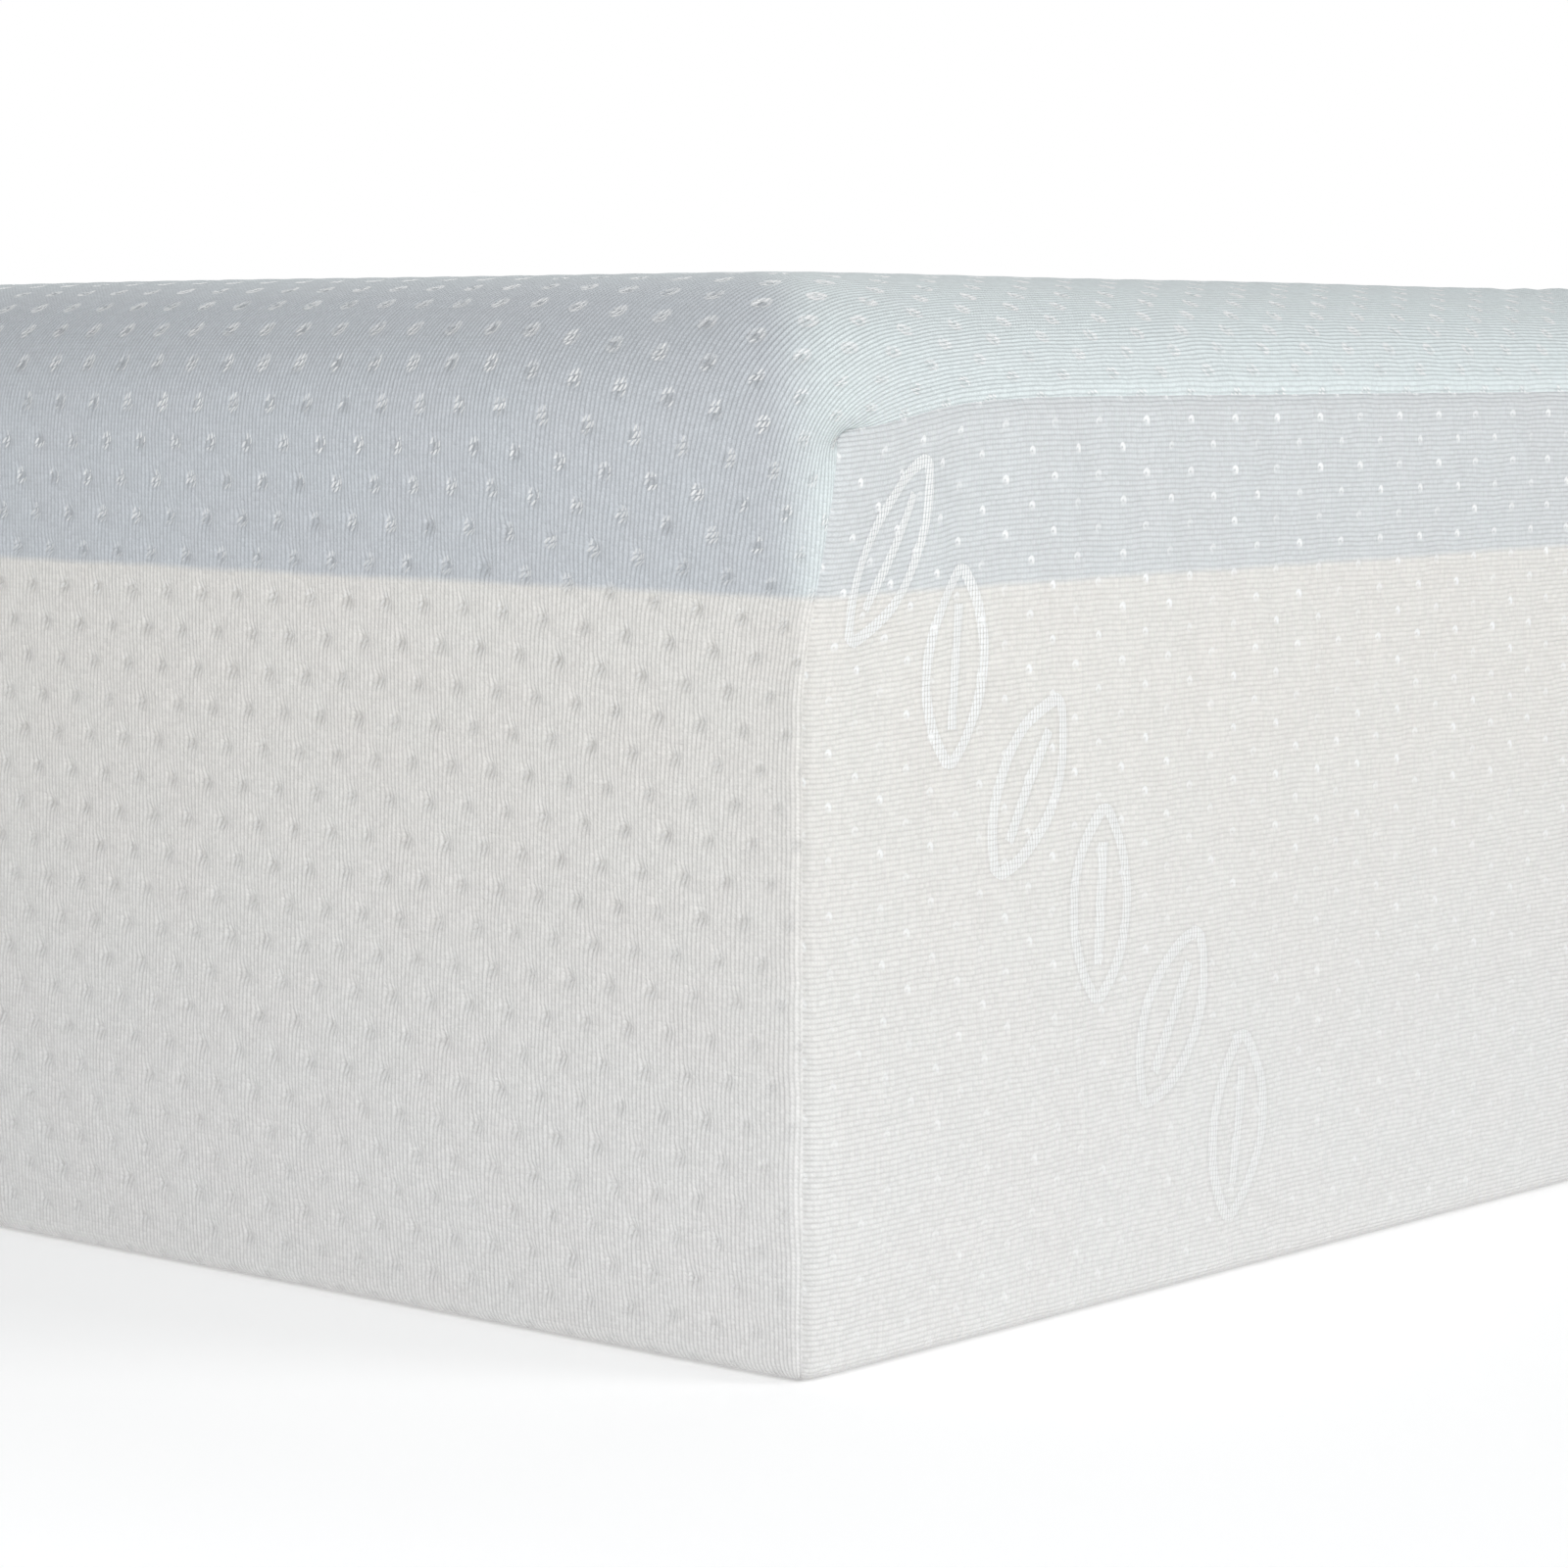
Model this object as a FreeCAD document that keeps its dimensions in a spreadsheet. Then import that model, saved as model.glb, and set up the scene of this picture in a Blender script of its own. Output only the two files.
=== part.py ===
import FreeCAD, Part
import os
import re
import Sketcher

# Memory foam mattress, single size, in millimetres.
# X runs along the length, Y across the width and +Z is up. The origin is the centre of the
# underside. The foot end faces +X, and the head end, which holds the zip, faces -X.
# Two bonded foam layers lie in a knitted cover. One piece of the cover wraps over the top and
# down both long sides. A panel closes each end, a plain panel closes the underside, and a zip
# across the head end lets the cover come off.

SIZES = [
    # alias, value, what it is
    ("mattress_length", 1900.0, "outside length of the cover"),
    ("mattress_width", 900.0, "outside width of the cover"),
    ("mattress_height", 180.0, "outside height of the cover"),
    ("cloth", 2.5, "thickness of the knitted cover"),
    ("edge_radius", 14.0, "outer radius of the cover's upright corners and top edges"),
    ("hem_radius", 4.0, "outer radius of the cover's bottom edges"),
    ("base_foam_height", 125.0, "height of the reflex foam layer"),
    ("bond_film", 0.3, "thickness of the glue film between the layers"),
    ("foam_side_gap", 1.0, "room between foam and cover along the long sides"),
    ("foam_end_gap", 3.5, "room between foam and cover at each end"),
    ("foam_radius", 11.0, "radius of the foam's upright corners and top edges"),
    ("foam_hem_radius", 3.0, "radius of the foam's bottom edges"),
    ("seam_line", 1.2, "width of a sewn seam"),
    ("end_panel_top", 158.0, "height of the top of each end panel"),
    ("corner_inset", 4.1, "end panel's side edge, in from the long side's face"),
    ("base_inset", 14.0, "base panel's edge, in from the cover's outside"),
    ("zip_level", 60.0, "height of the zip's centre line"),
    ("slot_height", 10.0, "gap in the head end that the zip closes"),
    ("slot_reach", 421.0, "half the length of that gap"),
    ("tape_thick", 0.7, "thickness of a zip tape"),
    ("tape_gap", 2.4, "gap between the two tapes"),
    ("tape_tall", 16.0, "width of a zip tape"),
    ("tape_reach", 428.0, "half the length of a zip tape"),
    ("coil_thick", 2.4, "thickness of the zip coil"),
    ("coil_tall", 2.85, "width of one side of the zip coil"),
    ("coil_gap", 0.3, "gap between the two sides of the coil"),
    ("coil_start", -409.0, "open end of the coil"),
    ("coil_stop", 403.5, "closed end of the coil, inside the slider"),
    ("slider_rear", 398.0, "rear of the slider with the zip closed"),
    ("slider_long", 11.0, "length of the slider"),
    ("slider_tall", 9.0, "width of the slider"),
    ("slider_skin", 1.4, "thickness of the slider's outer plate"),
    ("slider_back", 1.0, "thickness of the slider's inner plate"),
    ("slider_round", 2.0, "radius of the slider's nose corners"),
    ("slider_slant", 1.6, "chamfer of the slider's rear corners"),
    ("slider_soft", 0.5, "rounding of the slider's outer plate"),
    ("running_gap", 0.3, "clearance round the coil and the tapes in the slider"),
    ("post_wide", 1.8, "width of the post that parts the coil"),
    ("post_long", 4.0, "length of that post"),
    ("bridge_long", 8.0, "length of the bridge that holds the pull"),
    ("bridge_wide", 1.4, "width of the bridge"),
    ("bridge_rise", 3.2, "height of the bridge over the slider"),
    ("bridge_bar", 1.0, "thickness of the bridge's bar and legs"),
    ("bridge_round", 0.9, "outer rounding of the bridge"),
    ("pull_long", 26.0, "length of the pull tab"),
    ("pull_wide", 7.0, "width of the pull tab"),
    ("pull_thick", 1.0, "thickness of the pull tab"),
    ("pull_rail", 1.5, "width of the rails beside the pull's window"),
    ("pull_window", 7.6, "length of the pull's window"),
    ("pull_lift", 0.6, "gap between the slider and the pull at rest"),
    ("pull_round", 1.8, "corner radius of the pull tab"),
    ("pull_hole", 1.3, "radius of the hole in the pull's free end"),
    ("stop_long", 3.0, "length of a zip stop"),
    ("stop_thick", 3.4, "thickness of a zip stop across the tape"),
    ("stop_tall", 2.6, "width of one zip stop"),
    ("stop_room", 1.2, "room between the closed slider and the top stops"),
    ("stitch_long", 3.8, "length of a stitch"),
    ("stitch_tall", 0.6, "width of a stitch"),
    ("stitch_thick", 0.3, "height of a stitch over the cloth"),
    ("stitch_pitch", 5.0, "distance from one stitch to the next"),
    ("topstitch_count", 166, "stitches along each side of the zip"),
    ("topstitch_edge", 3.0, "row of stitches, in from the edge of the slot"),
    ("label_wide", 60.0, "width of the care label"),
    ("label_tall", 40.0, "height of the care label"),
    ("label_thick", 0.4, "thickness of the care label"),
    ("label_side", -365.0, "place of the label's centre across the head end"),
    ("label_level", 108.0, "height of the label's centre"),
    ("label_hem", 2.5, "label's row of stitches, in from its top edge"),
    ("label_stitch_count", 11, "stitches that hold the label"),
]
ALIASES = {alias for alias, value, meaning in SIZES}

# Frequently used places, as formulas in the sheet's sizes.
END_FACE = "mattress_length / 2"
SIDE_FACE = "mattress_width / 2"
HEAD_INSIDE = "-mattress_length / 2 + cloth"
TAPE_BACK = "-mattress_length / 2 + cloth + tape_thick"
SLOT_LOW = "zip_level - slot_height / 2"
SLOT_HIGH = "zip_level + slot_height / 2"
PLATE_FACE = "-mattress_length / 2 + cloth - coil_thick - running_gap - slider_skin"
HINGE_LINE = "slider_rear + slider_long / 2"
BEYOND = 5.0  # how far a cutting box runs past the surfaces that it cuts
TOLERANCE = 1e-6

os.makedirs("parts", exist_ok=True)
doc = FreeCAD.newDocument("FoamMattress")
sheet = doc.addObject("Spreadsheet::Sheet", "Sizes")
for row, (alias, value, meaning) in enumerate(SIZES, start=1):
    sheet.set(f"A{row}", meaning)
    sheet.set(f"B{row}", str(value))
    sheet.setAlias(f"B{row}", alias)
doc.recompute()

subparts = []


def formula(text):
    """Point every size named in the text at its cell in the sheet."""

    def cell(word):
        return f"Sizes.{word[0]}" if word[0] in ALIASES else word[0]

    return re.sub(r"[a-z_]+", cell, text)


def bind(thing, **targets):
    """Drive properties by formulas: a double underscore in a name stands for a dot."""
    for target, text in targets.items():
        thing.setExpression(target.replace("__", "."), formula(text))


def keep(thing, label):
    """Name a finished sub-part, which is then written to a file of that name."""
    thing.Label = label
    subparts.append(thing)
    return thing


def box(name, x_span, y_span, z_span):
    """A box between two formulas on each axis."""
    block = doc.addObject("Part::Box", name)
    (x_low, x_high), (y_low, y_high), (z_low, z_high) = x_span, y_span, z_span
    bind(
        block,
        Length=f"({x_high}) - ({x_low})",
        Width=f"({y_high}) - ({y_low})",
        Height=f"({z_high}) - ({z_low})",
        Placement__Base__x=x_low,
        Placement__Base__y=y_low,
        Placement__Base__z=z_low,
    )
    return block


def both_ways(reach):
    """A span that reaches as far to each side of zero."""
    return f"-({reach})", reach


def join(kind, name, base, tool):
    """A boolean of two objects: kind is Cut, Common or Fuse."""
    result = doc.addObject(f"Part::{kind}", name)
    result.Base = base
    result.Tool = tool
    return result


def new_body(name):
    return doc.addObject("PartDesign::Body", name)


def sketch_on(body, role, name, x="0", y="0", lift="0"):
    """A sketch on one of the body's own origin planes, with its origin moved to x, y, lift."""
    plane = next(o for o in body.Origin.OriginFeatures if o.Role == role)
    sketch = body.newObject("Sketcher::SketchObject", name)
    sketch.AttachmentSupport = [(plane, "")]
    sketch.MapMode = "FlatFace"
    bind(
        sketch,
        AttachmentOffset__Base__x=x,
        AttachmentOffset__Base__y=y,
        AttachmentOffset__Base__z=lift,
    )
    return sketch


def draw_rectangle(sketch, across, up):
    """A rectangle centred on the sketch's origin."""
    points = [FreeCAD.Vector(x, y, 0) for x, y in ((-1, -1), (1, -1), (1, 1), (-1, 1))]
    for start, end in zip(points, points[1:] + points[:1]):
        sketch.addGeometry(Part.LineSegment(start, end), False)
    for line in range(4):
        sketch.addConstraint(Sketcher.Constraint("Coincident", line, 2, (line + 1) % 4, 1))
        level = "Horizontal" if line % 2 == 0 else "Vertical"
        sketch.addConstraint(Sketcher.Constraint(level, line))
    sketch.addConstraint(Sketcher.Constraint("Symmetric", 0, 1, 2, 1, -1, 1))
    for name, kind, line in (("across", "DistanceX", 0), ("up", "DistanceY", 1)):
        number = sketch.addConstraint(Sketcher.Constraint(kind, line, 1, line, 2, 2.0))
        sketch.renameConstraint(number, name)
    bind(sketch, Constraints__across=across, Constraints__up=up)


def draw_circle(sketch, radius):
    """A circle centred on the sketch's origin."""
    circle = Part.Circle(FreeCAD.Vector(0, 0, 0), FreeCAD.Vector(0, 0, 1), 1.0)
    sketch.addGeometry(circle, False)
    sketch.addConstraint(Sketcher.Constraint("Coincident", 0, 3, -1, 1))
    number = sketch.addConstraint(Sketcher.Constraint("Radius", 0, 1.0))
    sketch.renameConstraint(number, "radius")
    bind(sketch, Constraints__radius=radius)


def pad(body, sketch, length):
    feature = body.newObject("PartDesign::Pad", f"{sketch.Name}_pad")
    feature.Profile = sketch
    bind(feature, Length=length)
    doc.recompute()
    return feature


def pocket_through(body, sketch):
    """Cut the sketch's outline right through the body, both ways from the sketch."""
    before = body.Shape.Volume
    feature = body.newObject("PartDesign::Pocket", f"{sketch.Name}_pocket")
    feature.Profile = sketch
    feature.Type = "ThroughAll"
    feature.Midplane = True
    doc.recompute()
    if body.Shape.Volume > before - TOLERANCE:
        raise RuntimeError(f"{feature.Name} cuts nothing")
    return feature


def edges_where(shape, test):
    """The names of the edges whose bounding box passes the test."""
    return [f"Edge{n}" for n, edge in enumerate(shape.Edges, start=1) if test(edge.BoundBox)]


def dress(body, kind, name, base, test, size):
    """A Fillet or a Chamfer of the edges that pass the test."""
    feature = body.newObject(f"PartDesign::{kind}", name)
    feature.Base = (base, edges_where(base.Shape, test))
    bind(feature, **{"Radius" if kind == "Fillet" else "Size": size})
    doc.recompute()
    return feature


def is_flat_at(low, high, level):
    return abs(low - level) < TOLERANCE and abs(high - level) < TOLERANCE


def slab(name, across, along, bottom, height, radius, top_too, hem_radius=None):
    """A padded rectangle with rounded upright edges, and its top and bottom edges if wanted."""
    body = new_body(name)
    outline = sketch_on(body, "XY_Plane", f"{name}_outline", lift=bottom)
    draw_rectangle(outline, across, along)
    solid = pad(body, outline, height)
    low, high = solid.Shape.BoundBox.ZMin, solid.Shape.BoundBox.ZMax

    def upright_or_top(edge):
        return edge.ZLength > TOLERANCE or (top_too and is_flat_at(edge.ZMin, edge.ZMax, high))

    solid = dress(body, "Fillet", f"{name}_edges", solid, upright_or_top, radius)
    if hem_radius:
        dress(
            body,
            "Fillet",
            f"{name}_hem",
            solid,
            lambda edge: is_flat_at(edge.ZMin, edge.ZMax, low),
            hem_radius,
        )
    return body


def make_foam():
    """The two foam layers and the glue film between them, all cut to one outline."""
    across = "mattress_length - 2 * (cloth + foam_end_gap)"
    along = "mattress_width - 2 * (cloth + foam_side_gap)"
    base_top = "cloth + base_foam_height"
    memory_bottom = f"{base_top} + bond_film"
    memory_height = f"mattress_height - cloth - ({memory_bottom})"
    base = slab(
        "ReflexFoam", across, along, "cloth", "base_foam_height", "foam_radius", False, "foam_hem_radius"
    )
    keep(base, "reflex_foam_base")
    keep(slab("Bond", across, along, base_top, "bond_film", "foam_radius", False), "foam_bond_layer")
    memory = slab("MemoryFoam", across, along, memory_bottom, memory_height, "foam_radius", True)
    keep(memory, "memory_foam_layer")


def make_cover_shell():
    """The whole cover as one hollow shell, which the panels are then cut from."""
    outer = slab(
        "CoverOutside",
        "mattress_length",
        "mattress_width",
        "0",
        "mattress_height",
        "edge_radius",
        True,
        "hem_radius",
    )
    inner = slab(
        "CoverInside",
        "mattress_length - 2 * cloth",
        "mattress_width - 2 * cloth",
        "cloth",
        "mattress_height - 2 * cloth",
        "edge_radius - cloth",
        True,
        "hem_radius - cloth",
    )
    return join("Cut", "CoverShell", outer, inner)


def base_region(name, grow):
    """The block of the shell that holds the base panel, grown sideways by a formula."""
    return box(
        name,
        both_ways(f"{END_FACE} - base_inset + {grow}"),
        both_ways(f"{SIDE_FACE} - base_inset + {grow}"),
        (f"-{BEYOND}", "cloth + running_gap"),
    )


def end_region(name, end, grow, z_low=f"-{BEYOND}", z_high="end_panel_top"):
    """The block that holds an end panel: end is 1 for the foot and -1 for the head."""
    near = f"{END_FACE} - base_inset + seam_line"
    far = f"{END_FACE} + {BEYOND}"
    x_span = (near, far) if end > 0 else (f"-({far})", f"-({near})")
    return box(
        name,
        x_span,
        both_ways(f"{SIDE_FACE} - corner_inset + {grow}"),
        (z_low, f"{z_high} + {grow}"),
    )


def make_cover(shell):
    """Cut the shell into its panels and the seams that join them."""
    base_block = base_region("BaseBlock", "0")
    base_seamed = base_region("BaseSeamed", "seam_line")
    keep(join("Common", "BasePanel", shell, base_block), "cover_base_panel")
    ring = join("Cut", "BaseSeamRing", base_seamed, base_block)
    keep(join("Common", "BaseSeam", shell, ring), "seam_base_thread")

    seamed = [base_seamed]
    for title, end in (("Foot", 1), ("Head", -1)):
        block = end_region(f"{title}Block", end, "0")
        grown = end_region(f"{title}Seamed", end, "seam_line")
        ring = join("Cut", f"{title}SeamRing", grown, block)
        keep(join("Common", f"{title}Seam", shell, ring), f"seam_{title.lower()}_end_thread")
        seamed.append(grown)
        if end > 0:
            keep(join("Common", "FootPanel", shell, block), "cover_foot_end_panel")

    upper = end_region("HeadUpperBlock", -1, "0", z_low=SLOT_HIGH)
    lower = end_region("HeadLowerBlock", -1, "0", z_high=SLOT_LOW)
    keep(join("Common", "HeadUpper", shell, upper), "cover_head_end_upper_panel")
    keep(join("Common", "HeadLower", shell, lower), "cover_head_end_lower_panel")

    everything_else = doc.addObject("Part::MultiFuse", "PanelsAndSeams")
    everything_else.Shapes = seamed
    keep(join("Cut", "Wrap", shell, everything_else), "cover_wrap_panel")


def make_zip_end_tabs(shell):
    """Pieces of cloth that fill the slot beyond each end of the zip."""
    x_span = (f"-({END_FACE} + {BEYOND})", f"-({END_FACE} - base_inset + seam_line)")
    edge = f"{SIDE_FACE} - corner_inset"
    for side, y_span in (("left", ("slot_reach", edge)), ("right", (f"-({edge})", "-slot_reach"))):
        block = box(f"Tab_{side}_block", x_span, y_span, (SLOT_LOW, SLOT_HIGH))
        keep(join("Common", f"Tab_{side}", shell, block), f"zip_end_tab_{side}")


def make_zip_tapes():
    """Two flat tapes behind the edges of the slot, and one side of the coil on each."""
    tapes = {}
    x_tape = (HEAD_INSIDE, TAPE_BACK)
    x_coil = (f"{HEAD_INSIDE} - coil_thick", HEAD_INSIDE)
    y_coil = ("coil_start", "coil_stop")
    for side, sign in (("upper", 1), ("lower", -1)):
        near, far = "tape_gap / 2", "tape_gap / 2 + tape_tall"
        inner, outer = "coil_gap / 2", "coil_gap / 2 + coil_tall"
        if sign < 0:
            near, far = f"-({far})", f"-({near})"
            inner, outer = f"-({outer})", f"-({inner})"
        z_tape = (f"zip_level + {near}", f"zip_level + {far}")
        z_coil = (f"zip_level + {inner}", f"zip_level + {outer}")
        tape = box(f"Tape_{side}", x_tape, both_ways("tape_reach"), z_tape)
        tapes[side] = keep(tape, f"zip_tape_{side}")
        keep(box(f"Coil_{side}", x_coil, y_coil, z_coil), f"zip_coil_{side}")
    return tapes


def make_slider():
    """The slider: an outer plate with flanges and an inner plate, joined by a post.

    The closed coil runs between the plates, and the tapes leave through a slot on each side.
    """
    thick = f"{TAPE_BACK} + running_gap + slider_back - ({PLATE_FACE})"
    body = new_body("SliderBlank")
    outline = sketch_on(body, "YZ_Plane", "SliderOutline", HINGE_LINE, "zip_level", PLATE_FACE)
    draw_rectangle(outline, "slider_long", "slider_tall")
    blank = pad(body, outline, thick)
    bounds = blank.Shape.BoundBox

    def along_x_at(level):
        return lambda edge: edge.XLength > TOLERANCE and is_flat_at(edge.YMin, edge.YMax, level)

    blank = dress(body, "Fillet", "SliderNose", blank, along_x_at(bounds.YMax), "slider_round")
    blank = dress(body, "Chamfer", "SliderRear", blank, along_x_at(bounds.YMin), "slider_slant")

    def on_outer_face(edge):
        return is_flat_at(edge.XMin, edge.XMax, bounds.XMin)

    dress(body, "Fillet", "SliderSoftEdge", blank, on_outer_face, "slider_soft")

    y_span = (f"slider_rear - {BEYOND}", f"slider_rear + slider_long + {BEYOND}")
    coil_room = "coil_gap / 2 + coil_tall + running_gap"
    coil_out = f"{HEAD_INSIDE} - coil_thick - running_gap"
    tape_in = f"{TAPE_BACK} + running_gap"
    channel = box(
        "SliderChannel",
        (coil_out, tape_in),
        y_span,
        (f"zip_level - ({coil_room})", f"zip_level + {coil_room}"),
    )
    slot = box(
        "SliderSlot",
        (f"{HEAD_INSIDE} - running_gap", tape_in),
        y_span,
        (f"zip_level - slider_tall / 2 - {BEYOND}", f"zip_level + slider_tall / 2 + {BEYOND}"),
    )
    post = box(
        "SliderPost",
        (coil_out, tape_in),
        ("coil_stop + running_gap", "coil_stop + running_gap + post_long"),
        ("zip_level - post_wide / 2", "zip_level + post_wide / 2"),
    )
    open_body = join("Cut", "SliderChannelled", body, channel)
    open_body = join("Cut", "SliderSlotted", open_body, slot)
    keep(join("Fuse", "Slider", open_body, post), "zip_slider_body")


def make_pull_bridge():
    """The arch on the slider's outer plate that the pull hangs on."""
    body = new_body("Bridge")
    middle = f"{PLATE_FACE} - bridge_rise / 2"
    outline = sketch_on(
        body, "XY_Plane", "BridgeOutline", middle, HINGE_LINE, "zip_level - bridge_wide / 2"
    )
    draw_rectangle(outline, "bridge_rise", "bridge_long")
    arch = pad(body, outline, "bridge_wide")
    bounds = arch.Shape.BoundBox

    def outer_corner(edge):
        return edge.ZLength > TOLERANCE and is_flat_at(edge.XMin, edge.XMax, bounds.XMin)

    dress(body, "Fillet", "BridgeCorners", arch, outer_corner, "bridge_round")
    opening = sketch_on(
        body,
        "XY_Plane",
        "BridgeOpening",
        f"{PLATE_FACE} - (bridge_rise - bridge_bar) / 2 + {BEYOND} / 2",
        HINGE_LINE,
        "zip_level",
    )
    draw_rectangle(opening, f"bridge_rise - bridge_bar + {BEYOND}", "bridge_long - 2 * bridge_bar")
    pocket_through(body, opening)
    keep(body, "zip_pull_bridge")


def make_pull_tab():
    """The pull: a flat tab whose end bar sits under the bridge. It lies back along the zip."""
    body = new_body("PullTab")
    lift = f"{PLATE_FACE} - pull_lift - pull_thick"
    bar_end = f"{HINGE_LINE} + bridge_bar / 2"
    outline = sketch_on(
        body, "YZ_Plane", "PullOutline", f"{bar_end} - pull_long / 2", "zip_level", lift
    )
    draw_rectangle(outline, "pull_long", "pull_wide")
    tab = pad(body, outline, "pull_thick")
    dress(body, "Fillet", "PullCorners", tab, lambda edge: edge.XLength > TOLERANCE, "pull_round")
    window = sketch_on(
        body,
        "YZ_Plane",
        "PullWindow",
        f"{bar_end} - bridge_bar - pull_window / 2",
        "zip_level",
        lift,
    )
    draw_rectangle(window, "pull_window", "pull_wide - 2 * pull_rail")
    pocket_through(body, window)
    hole = sketch_on(
        body, "YZ_Plane", "PullHole", f"{bar_end} - pull_long + pull_wide / 2", "zip_level", lift
    )
    draw_circle(hole, "pull_hole")
    pocket_through(body, hole)
    keep(body, "zip_pull_tab")


def make_zip_stops(tapes):
    """Clamps on the tapes at the ends of the coil: one each at the closed end, one across both."""
    x_middle = f"({HEAD_INSIDE} + {TAPE_BACK}) / 2"
    x_span = (f"{x_middle} - stop_thick / 2", f"{x_middle} + stop_thick / 2")
    start = "slider_rear + slider_long + stop_room"
    pair = []
    for side, sign in (("upper", 1), ("lower", -1)):
        near, far = "tape_gap / 2 - running_gap", "tape_gap / 2 - running_gap + stop_tall"
        if sign < 0:
            near, far = f"-({far})", f"-({near})"
        z_span = (f"zip_level + {near}", f"zip_level + {far}")
        block = box(f"TopStop_{side}_block", x_span, (start, f"{start} + stop_long"), z_span)
        pair.append(join("Cut", f"TopStop_{side}", block, tapes[side]))
    top = doc.addObject("Part::Compound", "TopStops")
    top.Links = pair
    keep(top, "zip_top_stops")

    reach = "coil_gap / 2 + coil_tall"
    block = box(
        "BottomStop_block",
        x_span,
        ("coil_start - running_gap - stop_long", "coil_start - running_gap"),
        (f"zip_level - ({reach})", f"zip_level + {reach}"),
    )
    bottom = join("Cut", "BottomStop_cut", block, tapes["upper"])
    keep(join("Cut", "BottomStop", bottom, tapes["lower"]), "zip_bottom_stop")


def stitch_row(name, label, y_middle, z_level, surface, count):
    """A straight row of stitches along Y, lying on a surface that faces -X."""
    body = new_body(name)
    start = f"{y_middle} - stitch_pitch * ({count} - 1) / 2"
    lift = f"{surface} - stitch_thick"
    first = sketch_on(body, "YZ_Plane", f"{name}_stitch", start, z_level, lift)
    draw_rectangle(first, "stitch_long", "stitch_tall")
    stitch = pad(body, first, "stitch_thick")
    pattern = body.newObject("PartDesign::LinearPattern", f"{name}_row")
    pattern.Originals = [stitch]
    pattern.Direction = (first, ["H_Axis"])
    bind(pattern, Length=f"stitch_pitch * ({count} - 1)", Occurrences=count)
    body.Tip = pattern
    keep(body, label)


def make_stitching():
    """Topstitching above and below the slot, and the row that holds the label."""
    face = f"-({END_FACE})"
    upper = f"{SLOT_HIGH} + topstitch_edge"
    lower = f"{SLOT_LOW} - topstitch_edge"
    stitch_row("StitchUpper", "zip_topstitch_upper", "0", upper, face, "topstitch_count")
    stitch_row("StitchLower", "zip_topstitch_lower", "0", lower, face, "topstitch_count")
    label_face = f"{face} - label_thick"
    label_row = "label_level + label_tall / 2 - label_hem"
    count = "label_stitch_count"
    stitch_row("LabelStitch", "care_label_stitching", "label_side", label_row, label_face, count)


def make_care_label():
    """A blank woven label on the head end, above the zip."""
    label = box(
        "CareLabel",
        (f"-({END_FACE}) - label_thick", f"-({END_FACE})"),
        ("label_side - label_wide / 2", "label_side + label_wide / 2"),
        ("label_level - label_tall / 2", "label_level + label_tall / 2"),
    )
    keep(label, "care_label")


def check_and_write():
    """Stop on any failed object or bad shape, then write one file for each sub-part."""
    doc.recompute()
    for thing in doc.Objects:
        faults = {"Invalid", "Error"} & set(thing.State)
        if faults:
            raise RuntimeError(f"{thing.Name} is {faults}")
    for thing in subparts:
        if thing.Shape.isNull() or not thing.Shape.isValid():
            raise RuntimeError(f"{thing.Label} has no valid shape")
    for thing in subparts:
        thing.Shape.exportStep(f"parts/{thing.Label}.step")
        solids, volume = len(thing.Shape.Solids), thing.Shape.Volume / 1000
        print(f"{thing.Label}: {solids} solid(s), {volume:.3f} cm3")


make_foam()
cover_shell = make_cover_shell()
make_cover(cover_shell)
make_zip_end_tabs(cover_shell)
zip_tapes = make_zip_tapes()
make_slider()
make_pull_bridge()
make_pull_tab()
make_zip_stops(zip_tapes)
make_stitching()
make_care_label()
check_and_write()
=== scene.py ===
from math import cos, pi, radians, sin, sqrt

import bpy
import numpy as np
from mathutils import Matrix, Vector


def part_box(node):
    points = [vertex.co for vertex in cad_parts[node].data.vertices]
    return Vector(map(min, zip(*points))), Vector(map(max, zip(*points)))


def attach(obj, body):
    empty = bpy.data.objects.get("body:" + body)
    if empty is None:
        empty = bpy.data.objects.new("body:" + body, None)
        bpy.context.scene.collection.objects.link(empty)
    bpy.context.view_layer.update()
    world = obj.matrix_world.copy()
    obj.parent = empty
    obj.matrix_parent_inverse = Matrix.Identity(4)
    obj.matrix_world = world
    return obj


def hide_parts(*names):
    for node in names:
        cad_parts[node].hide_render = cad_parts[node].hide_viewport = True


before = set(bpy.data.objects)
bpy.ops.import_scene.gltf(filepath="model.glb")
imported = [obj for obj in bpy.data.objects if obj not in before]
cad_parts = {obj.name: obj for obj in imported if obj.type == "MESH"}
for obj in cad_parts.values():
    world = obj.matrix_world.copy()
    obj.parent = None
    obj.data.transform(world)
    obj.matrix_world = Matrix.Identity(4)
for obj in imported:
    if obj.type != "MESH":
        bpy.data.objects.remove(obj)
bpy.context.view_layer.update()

# Looks of the memory foam mattress. Lengths are in millimetres until a mesh is made. X runs along
# the length with the photographed end at +X, Y across, Z up. Cloth is laid out flat first, with s
# across the wales and t along them, and each panel has a function that places it on the mattress.

MM = 0.001


def box_mm(node):
    """A CAD node's lowest and highest corners, in millimetres."""
    low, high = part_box(node)
    return np.array(low) / MM, np.array(high) / MM


# ---- sizes, from the frame

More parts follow.
